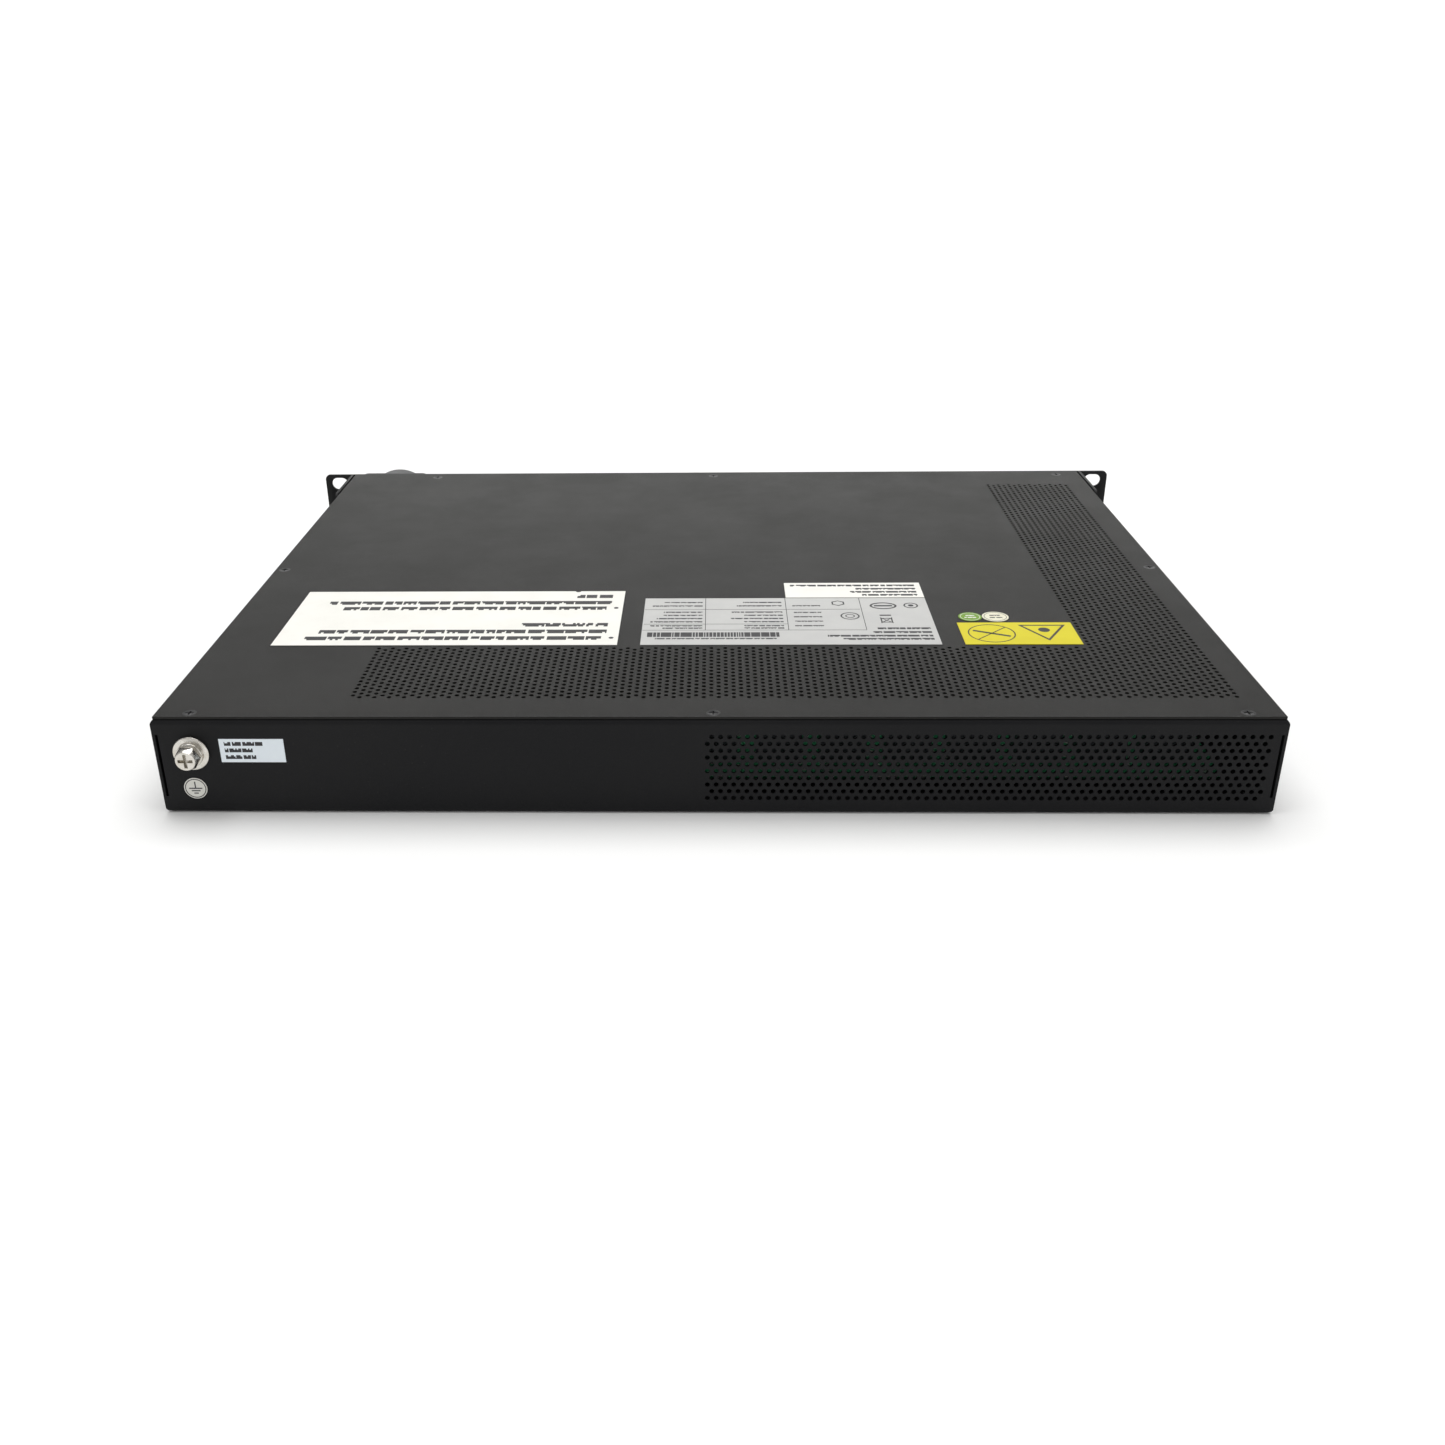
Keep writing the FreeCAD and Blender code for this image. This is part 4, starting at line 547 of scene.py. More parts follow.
panel_coat = dusty_coat(
    "panel_coat", PANEL_BLACK, PANEL_WORN, COAT_DUST,
    amount=0.15, low=0.38, high=0.46, grain=2400.0, bump=0.25)
dress("front_panel", panel_coat)
for node in ("rack_ear_left", "rack_ear_right"):
    softened(node, width=EAR_EDGE, material=panel_coat)


# ---- Case screws
# Small countersunk cross-head screws, black oxide on steel, with a little bright
# wear in the recess; round clinch nuts of plain zinc sit under the sheets.
SCREW_EDGE = 0.12 * MM
screw_oxide = finish(
    "screw_oxide", (0.016, 0.016, 0.017), (0.05, 0.05, 0.05),
    low=0.28, high=0.42, grain=900.0, bump=0.1, metallic=0.7, size=400.0)
for node in ("cover_screws", "panel_screws", "ear_screws"):
    softened(node, width=SCREW_EDGE, material=screw_oxide)
plain_zinc = finish(
    "plain_zinc", (0.55, 0.55, 0.54), (0.42, 0.42, 0.42),
    low=0.25, high=0.42, grain=700.0, bump=0.08, metallic=1.0, size=90.0)
dress("clinch_nuts", plain_zinc)


# ---- Ground stud
# Hex screw with a cross, split washer and flat washer, all nickel plated steel
# with turned marks and a warm cast, and a nut on the inside of the back wall.
STUD_EDGE = 0.25 * MM
RING_BUMP = 0.12


def turned_marks():
    """Fine rings about one axis, as a lathe or a tightened washer leaves them."""
    group, give, take = effect(
        "turned_marks", [("Size", 900.0), ("Depth", 1.0)], [("Height", "NodeSocketFloat")])
    place = group.nodes.new("ShaderNodeTexCoord")
    where = add_node(group, "ShaderNodeMapping")
    stud_low, stud_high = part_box("ground_flat_washer")
    centre = (stud_low + stud_high) / 2
    where.inputs["Location"].default_value = (-centre.x, -centre.y, -centre.z)
    group.links.new(place.outputs["Object"], where.inputs["Vector"])
    rings = add_node(group, "ShaderNodeTexWave", {"wave_type": "RINGS", "rings_direction": "Y"},
                     Distortion=1.5, Detail=2.0)
    group.links.new(where.outputs["Vector"], rings.inputs["Vector"])
    group.links.new(give.outputs["Size"], rings.inputs["Scale"])
    group.links.new(math_node(group, "MULTIPLY", rings.outputs["Fac"], give.outputs["Depth"]),
                    take.inputs["Height"])
    return group


TURNED = turned_marks()


def plated(name, first, second, low, high, rings):
    """Plated metal whose bump adds turned rings to the fine grain."""
    material = finish(name, first, second, low, high, grain=1200.0, bump=0.12, metallic=1.0, size=220.0)
    tree = material.node_tree
    shader = tree.nodes["Principled BSDF"]
    relief = shader.inputs["Normal"].links[0].from_node
    marks = use_effect(tree, TURNED, Size=rings, Depth=1.0)
    over = add_node(tree, "ShaderNodeBump", Strength=RING_BUMP, Distance=BUMP_DEPTH)
    tree.links.new(marks.outputs["Height"], over.inputs["Height"])
    tree.links.new(relief.outputs["Normal"], over.inputs["Normal"])
    tree.links.new(over.outputs["Normal"], shader.inputs["Normal"])
    return material


bright_nickel = plated(
    "bright_nickel", (0.74, 0.72, 0.68), (0.60, 0.57, 0.51),
    low=0.16, high=0.3, rings=620.0)
for node in ("ground_screw", "ground_spring_washer", "ground_flat_washer", "ground_nut"):
    softened(node, width=STUD_EDGE, material=bright_nickel)


# ---- Labels and their printing
# Satin polyester labels on the cover and the back wall. Their print is generic:
# rows of ticks where text would be, plain frames, rings, bars and a bar pattern.
PRINT_RISE = 0.03 * MM
INK = (0.012, 0.012, 0.013)
LABEL_SPECULAR = 0.2
STROKES_LEAST, STROKES_MOST = 3, 8
WARNING_ROWS = ((7.6, 140.6, 7.9), (5.6, 136.6, 15.7), (5.6, 45.6, 23.7),
                (7.6, 131.6, 44.5), (5.6, 140.6, 51.8), (5.6, 22.6, 60.0))
WARNING_TEXT, WARNING_TICK = 4.2, 0.62
WARNING_DOTS = (8.1, 44.8)
RATING_RULES = ((31.2, 132.0, 16.9), (66.1, 131.6, 24.2), (31.8, 132.0, 42.4))
RATING_COLUMNS = (31.2, 66.1, 103.6)
RATING_TOP, RATING_BOTTOM = 16.9, 56.9
RATING_LINE = 0.3
RATING_TEXT, CELL_TEXT, CELL_TICK = 2.0, 1.35, 0.26
RATING_ROWS = ((6.3, 40), (10.0, 47), (14.2, 26), (18.7, 24))
CELL_ROWS = ((19.3, 22.1), (27.0, 31.0, 35.0, 39.0), (47.0, 51.5))
CELL_COLUMNS = (68.0, 105.0)
CELL_LENGTHS = (18, 21, 24)
HEADING_ROWS = (22.0, 27.5, 33.0, 38.5, 47.0)
ADDRESS_ROWS = ((3.3, 27), (7.4, 32), (11.6, 29), (16.2, 60))
SERVICE_ROWS = ((2.1, 15.5), (5.0, 11.5), (8.0, 12.5))
EARTH_RADIUS = 4.7
EARTH_BARS = (2.7, 1.8, 0.9)


def label_stock(name, first, second, low=0.32, high=0.42):
    """Satin label material with soft mottling."""
    material = finish(name, first, second, low, high, grain=600.0, bump=0.03, size=60.0)
    material.node_tree.nodes["Principled BSDF"].inputs["Specular IOR Level"].default_value = LABEL_SPECULAR
    return material


white_stock = label_stock("white_stock", (0.80, 0.79, 0.74), (0.76, 0.75, 0.70))
grey_stock = label_stock("grey_stock", (0.50, 0.50, 0.485), (0.47, 0.47, 0.46))
yellow_stock = label_stock("yellow_stock", (0.62, 0.545, 0.004), (0.58, 0.505, 0.004))
green_stock = label_stock("green_stock", (0.16, 0.30, 0.018), (0.145, 0.275, 0.016))
# The service label's stock is white, tinted blue here as painted cool light on the back wall.
cool_lit_white_stock = label_stock("cool_lit_white_stock", (0.88, 0.95, 1.0), (0.85, 0.92, 0.97))
cream_stock = label_stock("cream_stock", (0.72, 0.70, 0.55), (0.68, 0.66, 0.52))
dress("warning_label", white_stock)
dress("rating_label", grey_stock)
dress("address_label", white_stock)
dress("shock_label", yellow_stock)
dress("green_sticker", green_stock)
dress("cream_sticker", cream_stock)
# The service label's bluish tint is painted cool light.
dress("service_label", cool_lit_white_stock)
dress("earth_sticker", white_stock)
print_ink = finish(
    "print_ink", INK, (0.03, 0.03, 0.032),
    low=0.45, high=0.6, grain=1800.0, bump=0.05, size=900.0)
white_ink = finish(
    "white_ink", (0.75, 0.75, 0.72), (0.7, 0.7, 0.68),
    low=0.45, high=0.6, grain=1800.0, bump=0.05, size=900.0)


def flat_grid(x0, x1, y0, y1, columns, rows):
    """Adds, in edit mode, a flat grid of cells between two corners, in millimetres."""
    bpy.ops.mesh.primitive_grid_add(x_subdivisions=columns, y_subdivisions=rows, size=1)
    scale = ((x1 - x0) * MM, (y1 - y0) * MM, 1)
    bpy.ops.transform.resize(value=scale, center_override=(0, 0, 0))
    bpy.ops.transform.translate(value=((x0 + x1) / 2 * MM, (y0 + y1) / 2 * MM, 0))


def keep_cells(wanted):
    """Deletes the selected cells that a rule of their column and row refuses."""
    piece = bpy.context.object
    shape = bmesh.from_edit_mesh(piece.data)
    cells = [face for face in shape.faces if face.select]
    columns = sorted({round(face.calc_center_median().x, 7) for face in cells})
    rows = sorted({round(face.calc_center_median().y, 7) for face in cells})
    for face in cells:
        centre = face.calc_center_median()
        column = columns.index(round(centre.x, 7))
        row = rows.index(round(centre.y, 7))
        face.select = not wanted(column, row)
    shape.select_flush_mode()
    bmesh.update_edit_mesh(piece.data)
    bpy.ops.mesh.delete(type="FACE")


def tick_row(chance, x0, x1, y, high, tick):
    """A row of upright ticks of two lengths in groups, where a line of text would be."""
    columns = max(4, round((x1 - x0) / tick))
    keep = {}
    column = 0
    while column < columns:
        for stroke in range(chance.randint(STROKES_LEAST, STROKES_MOST)):
            keep[column] = chance.choice((0, 0, 1, 2))
            column += 2
        column += chance.choice((1, 2))
    flat_grid(x0, x1, y - high / 2, y + high / 2, columns, 3)

    def wanted(column, row):
        if column not in keep:
            return False
        return keep[column] == 0 or row == 1 or row == (2 if keep[column] == 1 else 0)

    keep_cells(wanted)


def bar_pattern(chance, x0, x1, y, high, bar):
    """Upright bars of three widths."""
    columns = round((x1 - x0) / bar)
    keep = set()
    column = 0
    while column < columns:
        wide = chance.choice((1, 1, 2, 3))
        keep.update(range(column, column + wide))
        column += wide + chance.choice((1, 1, 2))
    flat_grid(x0, x1, y - high / 2, y + high / 2, columns, 1)
    keep_cells(lambda column, row: column in keep)


def rule(x0, x1, y0, y1):
    """A plain ruled line or bar."""
    flat_grid(x0, x1, y0, y1, 1, 1)


def outline(x, y, radius, wide, sides=32, turn=0.0, stretch=1.0):
    """An open ring or frame with a number of sides."""
    bpy.ops.mesh.primitive_circle_add(vertices=sides, radius=radius * MM, fill_type="NGON")
    bpy.ops.transform.rotate(value=-math.radians(turn), orient_axis="Z", center_override=(0, 0, 0))
    bpy.ops.transform.resize(value=(stretch, 1, 1), center_override=(0, 0, 0))
    bpy.ops.transform.translate(value=(x * MM, y * MM, 0))
    bpy.ops.mesh.inset(thickness=wide * MM)
    bpy.ops.mesh.delete(type="FACE")


def disc(x, y, radius, sides=20):
    """A filled dot."""
    bpy.ops.mesh.primitive_circle_add(vertices=sides, radius=radius * MM, fill_type="NGON")
    bpy.ops.transform.translate(value=(x * MM, y * MM, 0))


def slanted(x, y, long, wide, turn):
    """A bar turned about its own middle."""
    rule(-long / 2, long / 2, -wide / 2, wide / 2)
    bpy.ops.transform.rotate(value=-math.radians(turn), orient_axis="Z", center_override=(0, 0, 0))
    bpy.ops.transform.translate(value=(x * MM, y * MM, 0))


def from_corner(node):
    """The place of a cover label's upper left corner, read from the front."""
    low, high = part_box(node)
    return Matrix.Translation((low.x, high.y, high.z))


def on_back_wall(node):
    """The place of a back wall label's upper left corner, read from behind."""
    low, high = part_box(node)
    return Matrix(((-1, 0, 0, high.x), (0, 0, 1, high.y), (0, 1, 0, high.z), (0, 0, 0, 1)))


def printed(name, node, draw, ink, place):
    """Print on a piece, drawn flat about the origin, 0.03 mm thick, and put in its place."""
    bpy.ops.object.select_all(action="DESELECT")
    bpy.ops.mesh.primitive_plane_add(size=1)
    piece = bpy.context.object
    only(piece)
    bpy.ops.object.mode_set(mode="EDIT")
    bpy.ops.mesh.select_all(action="SELECT")
    bpy.ops.mesh.delete(type="VERT")
    draw()
    bpy.ops.mesh.select_all(action="SELECT")
    bpy.ops.mesh.normals_make_consistent(inside=False)
    bpy.ops.object.mode_set(mode="OBJECT")
    for face in piece.data.polygons:
        if face.normal.z < 0:
            face.flip()
    rise = piece.modifiers.new("rise", "SOLIDIFY")
    rise.thickness = PRINT_RISE
    rise.offset = 1
    bpy.ops.object.modifier_apply(modifier=rise.name)
    piece.matrix_world = place
    only(piece)
    bpy.ops.object.transform_apply(location=True, rotation=True, scale=True)
    settle(piece, name, node, ink)


def draw_warning():
    """Two items of three text rows each, with a dot before each item."""
    chance = random.Random(11)
    for x0, x1, depth in WARNING_ROWS:
        tick_row(chance, x0, x1, -depth, WARNING_TEXT, WARNING_TICK)
    for depth in WARNING_DOTS:
        disc(3.1, -depth, 1.1)


def draw_rating():
    """A ruled table, small text rows, a bar pattern and plain approval-like outlines."""
    chance = random.Random(23)
    for x0, x1, depth in RATING_RULES:
        rule(x0, x1, -depth - RATING_LINE / 2, -depth + RATING_LINE / 2)
    for x in RATING_COLUMNS:
        rule(x - RATING_LINE / 2, x + RATING_LINE / 2, -RATING_BOTTOM, -RATING_TOP)
    bar_pattern(chance, 70.6, 129.6, -11.6, 5.2, 0.34)
    tick_row(chance, 72, 126, -6.9, 1.3, 0.26)
    for depth, long in RATING_ROWS:
        tick_row(chance, 2.5, 2.5 + long, -depth, RATING_TEXT, 0.32)
    for depths in CELL_ROWS:
        for depth in depths:
            for left in CELL_COLUMNS:
                tick_row(chance, left, left + chance.choice(CELL_LENGTHS), -depth, CELL_TEXT, CELL_TICK)
    for depth in HEADING_ROWS:
        tick_row(chance, 50.0, 63.0, -depth, 1.2, CELL_TICK)
    outline(20.7, -46.8, 4.2, 1.0, stretch=1.5)
    rule(16.5, 24.9, -47.6, -46.0)
    outline(7.8, -47.1, 3.4, 0.7)
    disc(7.8, -47.1, 1.3)
    outline(37.2, -33.9, 4.4, 0.7)
    outline(37.2, -33.9, 2.2, 0.5)
    outline(41.5, -50.3, 3.4, 0.7, sides=6)
    outline(21.0, -28.5, 3.8, 0.6, sides=4, turn=45)
    for turn in (50, -50):
        slanted(21.0, -28.5, 8.6, 0.5, turn)
    rule(18.4, 23.6, -35.4, -34.0)


def draw_address():
    """Four rows of small text."""
    chance = random.Random(31)
    for depth, long in ADDRESS_ROWS:
        tick_row(chance, 2.8, 2.8 + long, -depth, 2.2, 0.36)


def draw_hazard():
    """A triangle frame with a dot and a ring crossed by two bars, both generic."""
    outline(13.6, -16.4, 12.3, 1.1, sides=3)
    disc(13.6, -16.6, 2.6)
    outline(37.5, -12.6, 10.5, 0.6)
    slanted(37.5, -12.6, 20.4, 0.6, 45)
    slanted(37.5, -12.6, 17.0, 1.6, -24)


def draw_sticker(radius, seed):
    """A thin ring with two short text rows in it."""
    def draw():
        chance = random.Random(seed)
        outline(radius, -radius, radius * 0.86, 0.25)
        tick_row(chance, radius * 0.5, radius * 1.5, -radius * 0.8, 1.1, 0.3)
        tick_row(chance, radius * 0.6, radius * 1.4, -radius * 1.25, 1.1, 0.3)
    return draw


def draw_service():
    """Three short rows of small text."""
    chance = random.Random(47)
    for depth, long in SERVICE_ROWS:
        tick_row(chance, 2.0, 2.0 + long, -depth, 1.7, 0.3)


def draw_earth():
    """A ring with one upright bar that stands on three level bars, each shorter."""
    middle = EARTH_RADIUS
    outline(middle, -middle, 4.3, 0.35)
    rule(middle - 0.25, middle + 0.25, -middle, -middle + 3.0)
    for number, half in enumerate(EARTH_BARS):
        y = -middle - number * 1.1
        rule(middle - half, middle + half, y - 0.25, y + 0.25)


for name, node, draw, ink in (
        ("warning_print", "warning_label", draw_warning, print_ink),
        ("rating_print", "rating_label", draw_rating, print_ink),
        ("address_print", "address_label", draw_address, print_ink),
        ("hazard_print", "shock_label", draw_hazard, print_ink),
        ("green_print", "green_sticker", draw_sticker(5.3, 5), white_ink),
        ("cream_print", "cream_sticker", draw_sticker(6.0, 7), print_ink)):
    printed(name, node, draw, ink, from_corner(node))
for name, node, draw in (("service_print", "service_label", draw_service),
                         ("earth_print", "earth_sticker", draw_earth)):
    printed(name, node, draw, print_ink, on_back_wall(node))


# ---- Power inlet
# A moulded nylon shell with a square flange on a foam gasket, an insulating core
# with three curved plated blades, and four cross-head screws.
nylon_black = finish(
    "nylon_black", (0.022, 0.022, 0.024), (0.03, 0.03, 0.032),
    low=0.42, high=0.55, grain=1100.0, bump=0.16)
core_grey = finish(
    "core_grey", (0.05, 0.05, 0.055), (0.062, 0.062, 0.066),
    low=0.5, high=0.62, grain=900.0, bump=0.12)
foam_black = finish(
    "foam_black", (0.016, 0.016, 0.016), (0.028, 0.028, 0.028),
    low=0.85, high=0.95, grain=2600.0, bump=0.6)
blade_brass = finish(
    "blade_brass", (0.70, 0.58, 0.33), (0.60, 0.48, 0.26),
    low=0.2, high=0.34, grain=800.0, bump=0.08, metallic=1.0, size=120.0)
SHELL_EDGE = 0.4 * MM
BLADE_EDGE = 0.2 * MM
INLET_SCREW_EDGE = 0.15 * MM
softened("inlet_shell", width=SHELL_EDGE, material=nylon_black, segments=3)
dress("inlet_insert", core_grey)
dress("inlet_gasket", foam_black)
softened("inlet_blades", width=BLADE_EDGE, material=blade_brass)
softened("inlet_screws", width=INLET_SCREW_EDGE, material=plain_zinc)


# ---- Outlets
# Twelve moulded outlets clipped into the panel, each with a keyed plug groove and
# brass contacts, and copper bars across their backs.
outlet_black = finish(
    "outlet_black", (0.017, 0.017, 0.019), (0.023, 0.023, 0.025),
    low=0.38, high=0.5, grain=1300.0, bump=0.18)
bar_copper = finish(
    "bar_copper", (0.72, 0.40, 0.26), (0.6, 0.30, 0.18),
    low=0.25, high=0.45, grain=700.0, bump=0.1, metallic=1.0, size=45.0)
OUTLET_COUNT = 12
OUTLET_EDGE = 0.3 * MM
first_outlet = softened("outlet_01", width=OUTLET_EDGE, material=outlet_black)
for number in range(2, OUTLET_COUNT + 1):
    node = "outlet_%02d" % number
    outlet = bpy.data.objects.new(node + "_finished", first_outlet.data.copy())
    bpy.context.scene.collection.objects.link(outlet)
    outlet.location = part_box(node)[0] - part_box("outlet_01")[0]
    only(outlet)
    bpy.ops.object.transform_apply(location=True, rotation=True, scale=True)
    settle(outlet, node + "_finished", node, outlet_black, replaces=True)
dress("outlet_contacts", blade_brass)
dress("line_bars", bar_copper)
dress("return_bars", bar_copper)


# ---- Breakers
# Three moulded breaker bodies, each with a polished rocker on two pins, marked
# with a bar and a ring on its two halves.
body_thermoset = finish(
    "body_thermoset", (0.026, 0.026, 0.027), (0.034, 0.034, 0.035),
    low=0.4, high=0.55, grain=1000.0, bump=0.15)
rocker_gloss = finish(
    "rocker_gloss", (0.024, 0.024, 0.026), (0.03, 0.03, 0.032),
    low=0.2, high=0.3, grain=900.0, bump=0.06)
BREAKER_COUNT = 3
BODY_EDGE = 0.3 * MM
ROCKER_EDGE = 0.4 * MM
ROCKER_TILT = 9.0
ROCKER_SLOPE = 6.843
ROCKER_FACE = (-7.45, 6.25)
MARK_RISE = 0.02
MARK_LONG = 4.8
MARK_WIDE = 0.9
RING_RADIUS = 2.3
RING_WIDE = 0.8
JOINTS = {joint["name"]: joint for joint in frame["joints"]}


def draw_bar():
    """An upright bar."""
    rule(-MARK_WIDE / 2, MARK_WIDE / 2, -MARK_LONG / 2, MARK_LONG / 2)


def draw_ring():
    """A ring."""
    outline(0, 0, RING_RADIUS, RING_WIDE)


for number in range(1, BREAKER_COUNT + 1):
    softened("breaker_body_%d" % number, width=BODY_EDGE, material=body_thermoset)
    rocker = "breaker_rocker_%d" % number
    softened(rocker, width=ROCKER_EDGE, material=rocker_gloss, segments=3)
    axle = Matrix.Translation(JOINTS["rocker_%d_tilt" % number]["pos_m"])
    tilt = Matrix.Rotation(math.radians(ROCKER_TILT), 4, "X")
    for name, draw, side in (("bar", draw_bar, 1), ("ring", draw_ring, -1)):
        y, z = ROCKER_FACE
        face = Matrix.Translation((0, (y - MARK_RISE) * MM, side * z * MM))
        facing = Matrix.Rotation(math.radians(90 + side * ROCKER_SLOPE), 4, "X")
        printed("rocker_%s_%d" % (name, number), rocker, draw, white_ink, axle @ tilt @ face @ facing)


# ---- Network corner
# Two shielded jacks, a moulded reset button on its switch and three clear light
# pipes, all on the control board behind the panel.
jack_nickel = finish(
    "jack_nickel", (0.60, 0.60, 0.57), (0.5, 0.5, 0.48),
    low=0.24, high=0.4, grain=900.0, bump=0.08, metallic=1.0, size=140.0)
jack_plastic = finish(
    "jack_plastic", (0.03, 0.03, 0.032), (0.04, 0.04, 0.042),
    low=0.4, high=0.52, grain=1100.0, bump=0.14)
button_plastic = finish(
    "button_plastic", (0.26, 0.26, 0.27), (0.22, 0.22, 0.23),
    low=0.4, high=0.5, grain=1100.0, bump=0.1)
PIPE_CLEARNESS = 0.6
pipe_clear = finish(
    "pipe_clear", (0.45, 0.72, 0.45), (0.4, 0.66, 0.42),
    low=0.08, high=0.15, grain=500.0, bump=0.02)
pipe_clear.node_tree.nodes["Principled BSDF"].inputs["Transmission Weight"].default_value = PIPE_CLEARNESS
JACK_EDGE = 0.25 * MM
BUTTON_EDGE = 0.3 * MM
softened("network_jack", width=JACK_EDGE, material=jack_nickel)
softened("console_jack", width=JACK_EDGE, material=jack_plastic)
softened("reset_button", width=BUTTON_EDGE, material=button_plastic, segments=3)
dress("reset_switch", jack_plastic)
softened("status_lights", width=BUTTON_EDGE, material=pipe_clear, segments=3)

PIN_COUNT = 8
PIN_PITCH = 1.02 * MM
PIN_WIDE = 0.4 * MM
PIN_THICK = 0.3 * MM
PIN_LONG = 9.0 * MM
PIN_RISE = 24.0
MOUTH_FLOOR = 1.6 * MM


def jack_pins(node):
    """Eight sprung contact wires that rise from the floor of a jack's mouth."""
    low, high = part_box(node)
    bpy.ops.object.select_all(action="DESELECT")
    bpy.ops.mesh.primitive_cube_add(size=1)
    pins = bpy.context.object
    only(pins)
    bpy.ops.object.mode_set(mode="EDIT")
    bpy.ops.transform.resize(value=(PIN_WIDE, PIN_LONG, PIN_THICK), center_override=(0, 0, 0))
    bpy.ops.transform.rotate(value=-math.radians(PIN_RISE), orient_axis="X", center_override=(0, 0, 0))
    bpy.ops.mesh.select_all(action="DESELECT")
    shape = bmesh.from_edit_mesh(pins.data)
    end = max(shape.faces, key=lambda face: abs(face.calc_center_median().y) + face.calc_center_median().z)
    end.select = True
    shape.select_flush(True)
    bmesh.update_edit_mesh(pins.data)
    bpy.ops.mesh.extrude_region_move(TRANSFORM_OT_translate={"value": (0, PIN_THICK * 2, -PIN_THICK)})
    bpy.ops.mesh.extrude_region_move(TRANSFORM_OT_translate={"value": (0, PIN_THICK, -PIN_THICK * 4)})
    bpy.ops.object.mode_set(mode="OBJECT")
    repeat(pins, (PIN_PITCH, 0, 0), PIN_COUNT)
    middle = (low + high) / 2
    rise = PIN_LONG / 2 * math.sin(math.radians(PIN_RISE)) + PIN_THICK
    pins.location = (middle.x - PIN_PITCH * (PIN_COUNT - 1) / 2, low.y + PIN_LONG, low.z + MOUTH_FLOOR + rise)
    only(pins)
    bpy.ops.object.transform_apply(location=True, rotation=True, scale=True)
    bpy.ops.object.shade_smooth_by_angle(angle=math.radians(SMOOTH_ANGLE))
    settle(pins, node + "_pins", "outlet_contacts", blade_brass)


jack_pins("network_jack")
jack_pins("console_jack")


# ---- Boards inside the case
# Green boards with tinned traces on zinc standoffs, twelve sealed relays and a
# potted supply module; parts of them show through the vents.
BOARD_DARK = (0.012, 0.10, 0.045)
BOARD_PALE = (0.03, 0.20, 0.09)
BOARD_TIN = (0.6, 0.6, 0.56)
BOARD_ROUGHNESS = 0.3
TRACE_BUMP = 0.2
TRACE_WIDE = 0.06

def board_traces():
    """Straight paler traces in two directions, and small tinned pads."""
    group, give, take = effect(
        "board_traces", [("Size", 220.0)], [("Trace", "NodeSocketFloat"), ("Pad", "NodeSocketFloat")])
    place = group.nodes.new("ShaderNodeTexCoord")
    bricks = add_node(group, "ShaderNodeTexBrick")
    bricks.inputs["Color1"].default_value = (0, 0, 0, 1)
    bricks.inputs["Color2"].default_value = (0, 0, 0, 1)
    bricks.inputs["Mortar"].default_value = (1, 1, 1, 1)
    bricks.inputs["Mortar Size"].default_value = TRACE_WIDE
    group.links.new(place.outputs["Object"], bricks.inputs["Vector"])
    group.links.new(give.outputs["Size"], bricks.inputs["Scale"])
    group.links.new(bricks.outputs["Color"], take.inputs["Trace"])
    cells = add_node(group, "ShaderNodeTexVoronoi", Randomness=0.6)
    group.links.new(place.outputs["Object"], cells.inputs["Vector"])
    group.links.new(give.outputs["Size"], cells.inputs["Scale"])
    pad = add_node(group, "ShaderNodeMapRange", From_Min=0.26, From_Max=0.2)
    group.links.new(cells.outputs["Distance"], pad.inputs["Value"])
    group.links.new(pad.outputs["Result"], take.inputs["Pad"])
    return group


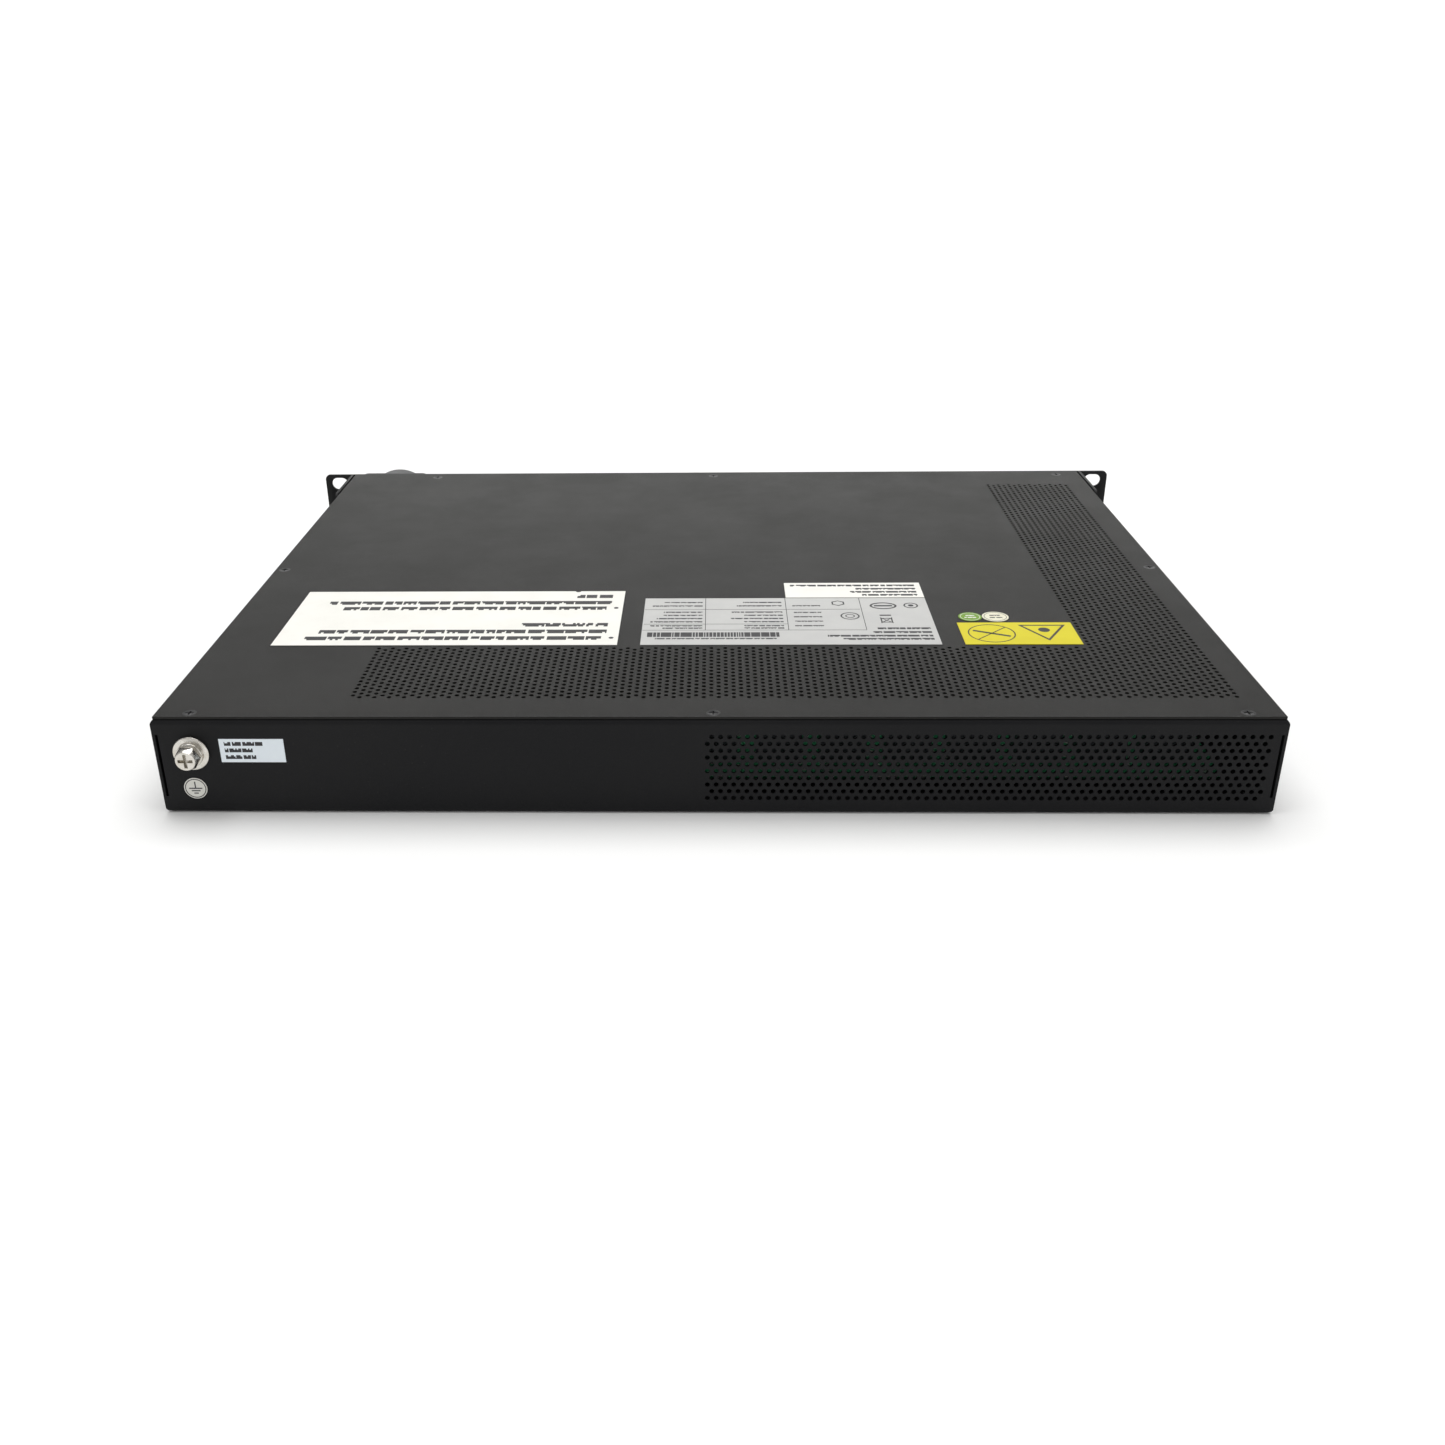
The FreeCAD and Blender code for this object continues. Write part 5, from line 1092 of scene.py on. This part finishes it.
board_green, tree, shader = plain_shader("board_green", BOARD_DARK, BOARD_ROUGHNESS)
traces = use_effect(tree, board_traces(), Size=260.0)
mask = add_node(tree, "ShaderNodeMix", {"data_type": "RGBA"})
mask.inputs[MIX_FIRST].default_value = (*BOARD_DARK, 1)
mask.inputs[MIX_SECOND].default_value = (*BOARD_PALE, 1)
tree.links.new(traces.outputs["Trace"], mask.inputs[MIX_SHARE])
tin = add_node(tree, "ShaderNodeMix", {"data_type": "RGBA"})
tin.inputs[MIX_SECOND].default_value = (*BOARD_TIN, 1)
tree.links.new(traces.outputs["Pad"], tin.inputs[MIX_SHARE])
tree.links.new(mask.outputs[MIX_RESULT], tin.inputs[MIX_FIRST])
tree.links.new(tin.outputs[MIX_RESULT], shader.inputs["Base Color"])
tree.links.new(traces.outputs["Pad"], shader.inputs["Metallic"])
raised = add_node(tree, "ShaderNodeBump", Strength=TRACE_BUMP, Distance=BUMP_DEPTH)
tree.links.new(traces.outputs["Trace"], raised.inputs["Height"])
tree.links.new(raised.outputs["Normal"], shader.inputs["Normal"])
dress("control_board", board_green)
dress("relay_board", board_green)
relay_case = finish(
    "relay_case", (0.03, 0.035, 0.045), (0.04, 0.045, 0.055),
    low=0.4, high=0.5, grain=900.0, bump=0.12)
potted_white = finish(
    "potted_white", (0.62, 0.61, 0.56), (0.56, 0.55, 0.50),
    low=0.45, high=0.6, grain=700.0, bump=0.1)
dress("relays", relay_case)
dress("supply_module", potted_white)
dress("board_standoffs", plain_zinc)


# ---- Wiring inside the case
# Brown supply and bank leads, a green ground lead with a tinned lug, and a grey
# flat cable between the two boards.
brown_sheath = finish(
    "brown_sheath", (0.14, 0.05, 0.022), (0.12, 0.042, 0.018),
    low=0.4, high=0.52, grain=500.0, bump=0.08)
green_sheath = finish(
    "green_sheath", (0.03, 0.2, 0.04), (0.025, 0.17, 0.035),
    low=0.4, high=0.52, grain=500.0, bump=0.08)
grey_ribbon = finish(
    "grey_ribbon", (0.36, 0.36, 0.35), (0.32, 0.32, 0.31),
    low=0.45, high=0.58, grain=500.0, bump=0.1)
dress("power_leads", brown_sheath)
dress("ground_lead", green_sheath)
dress("ribbon_cable", grey_ribbon)
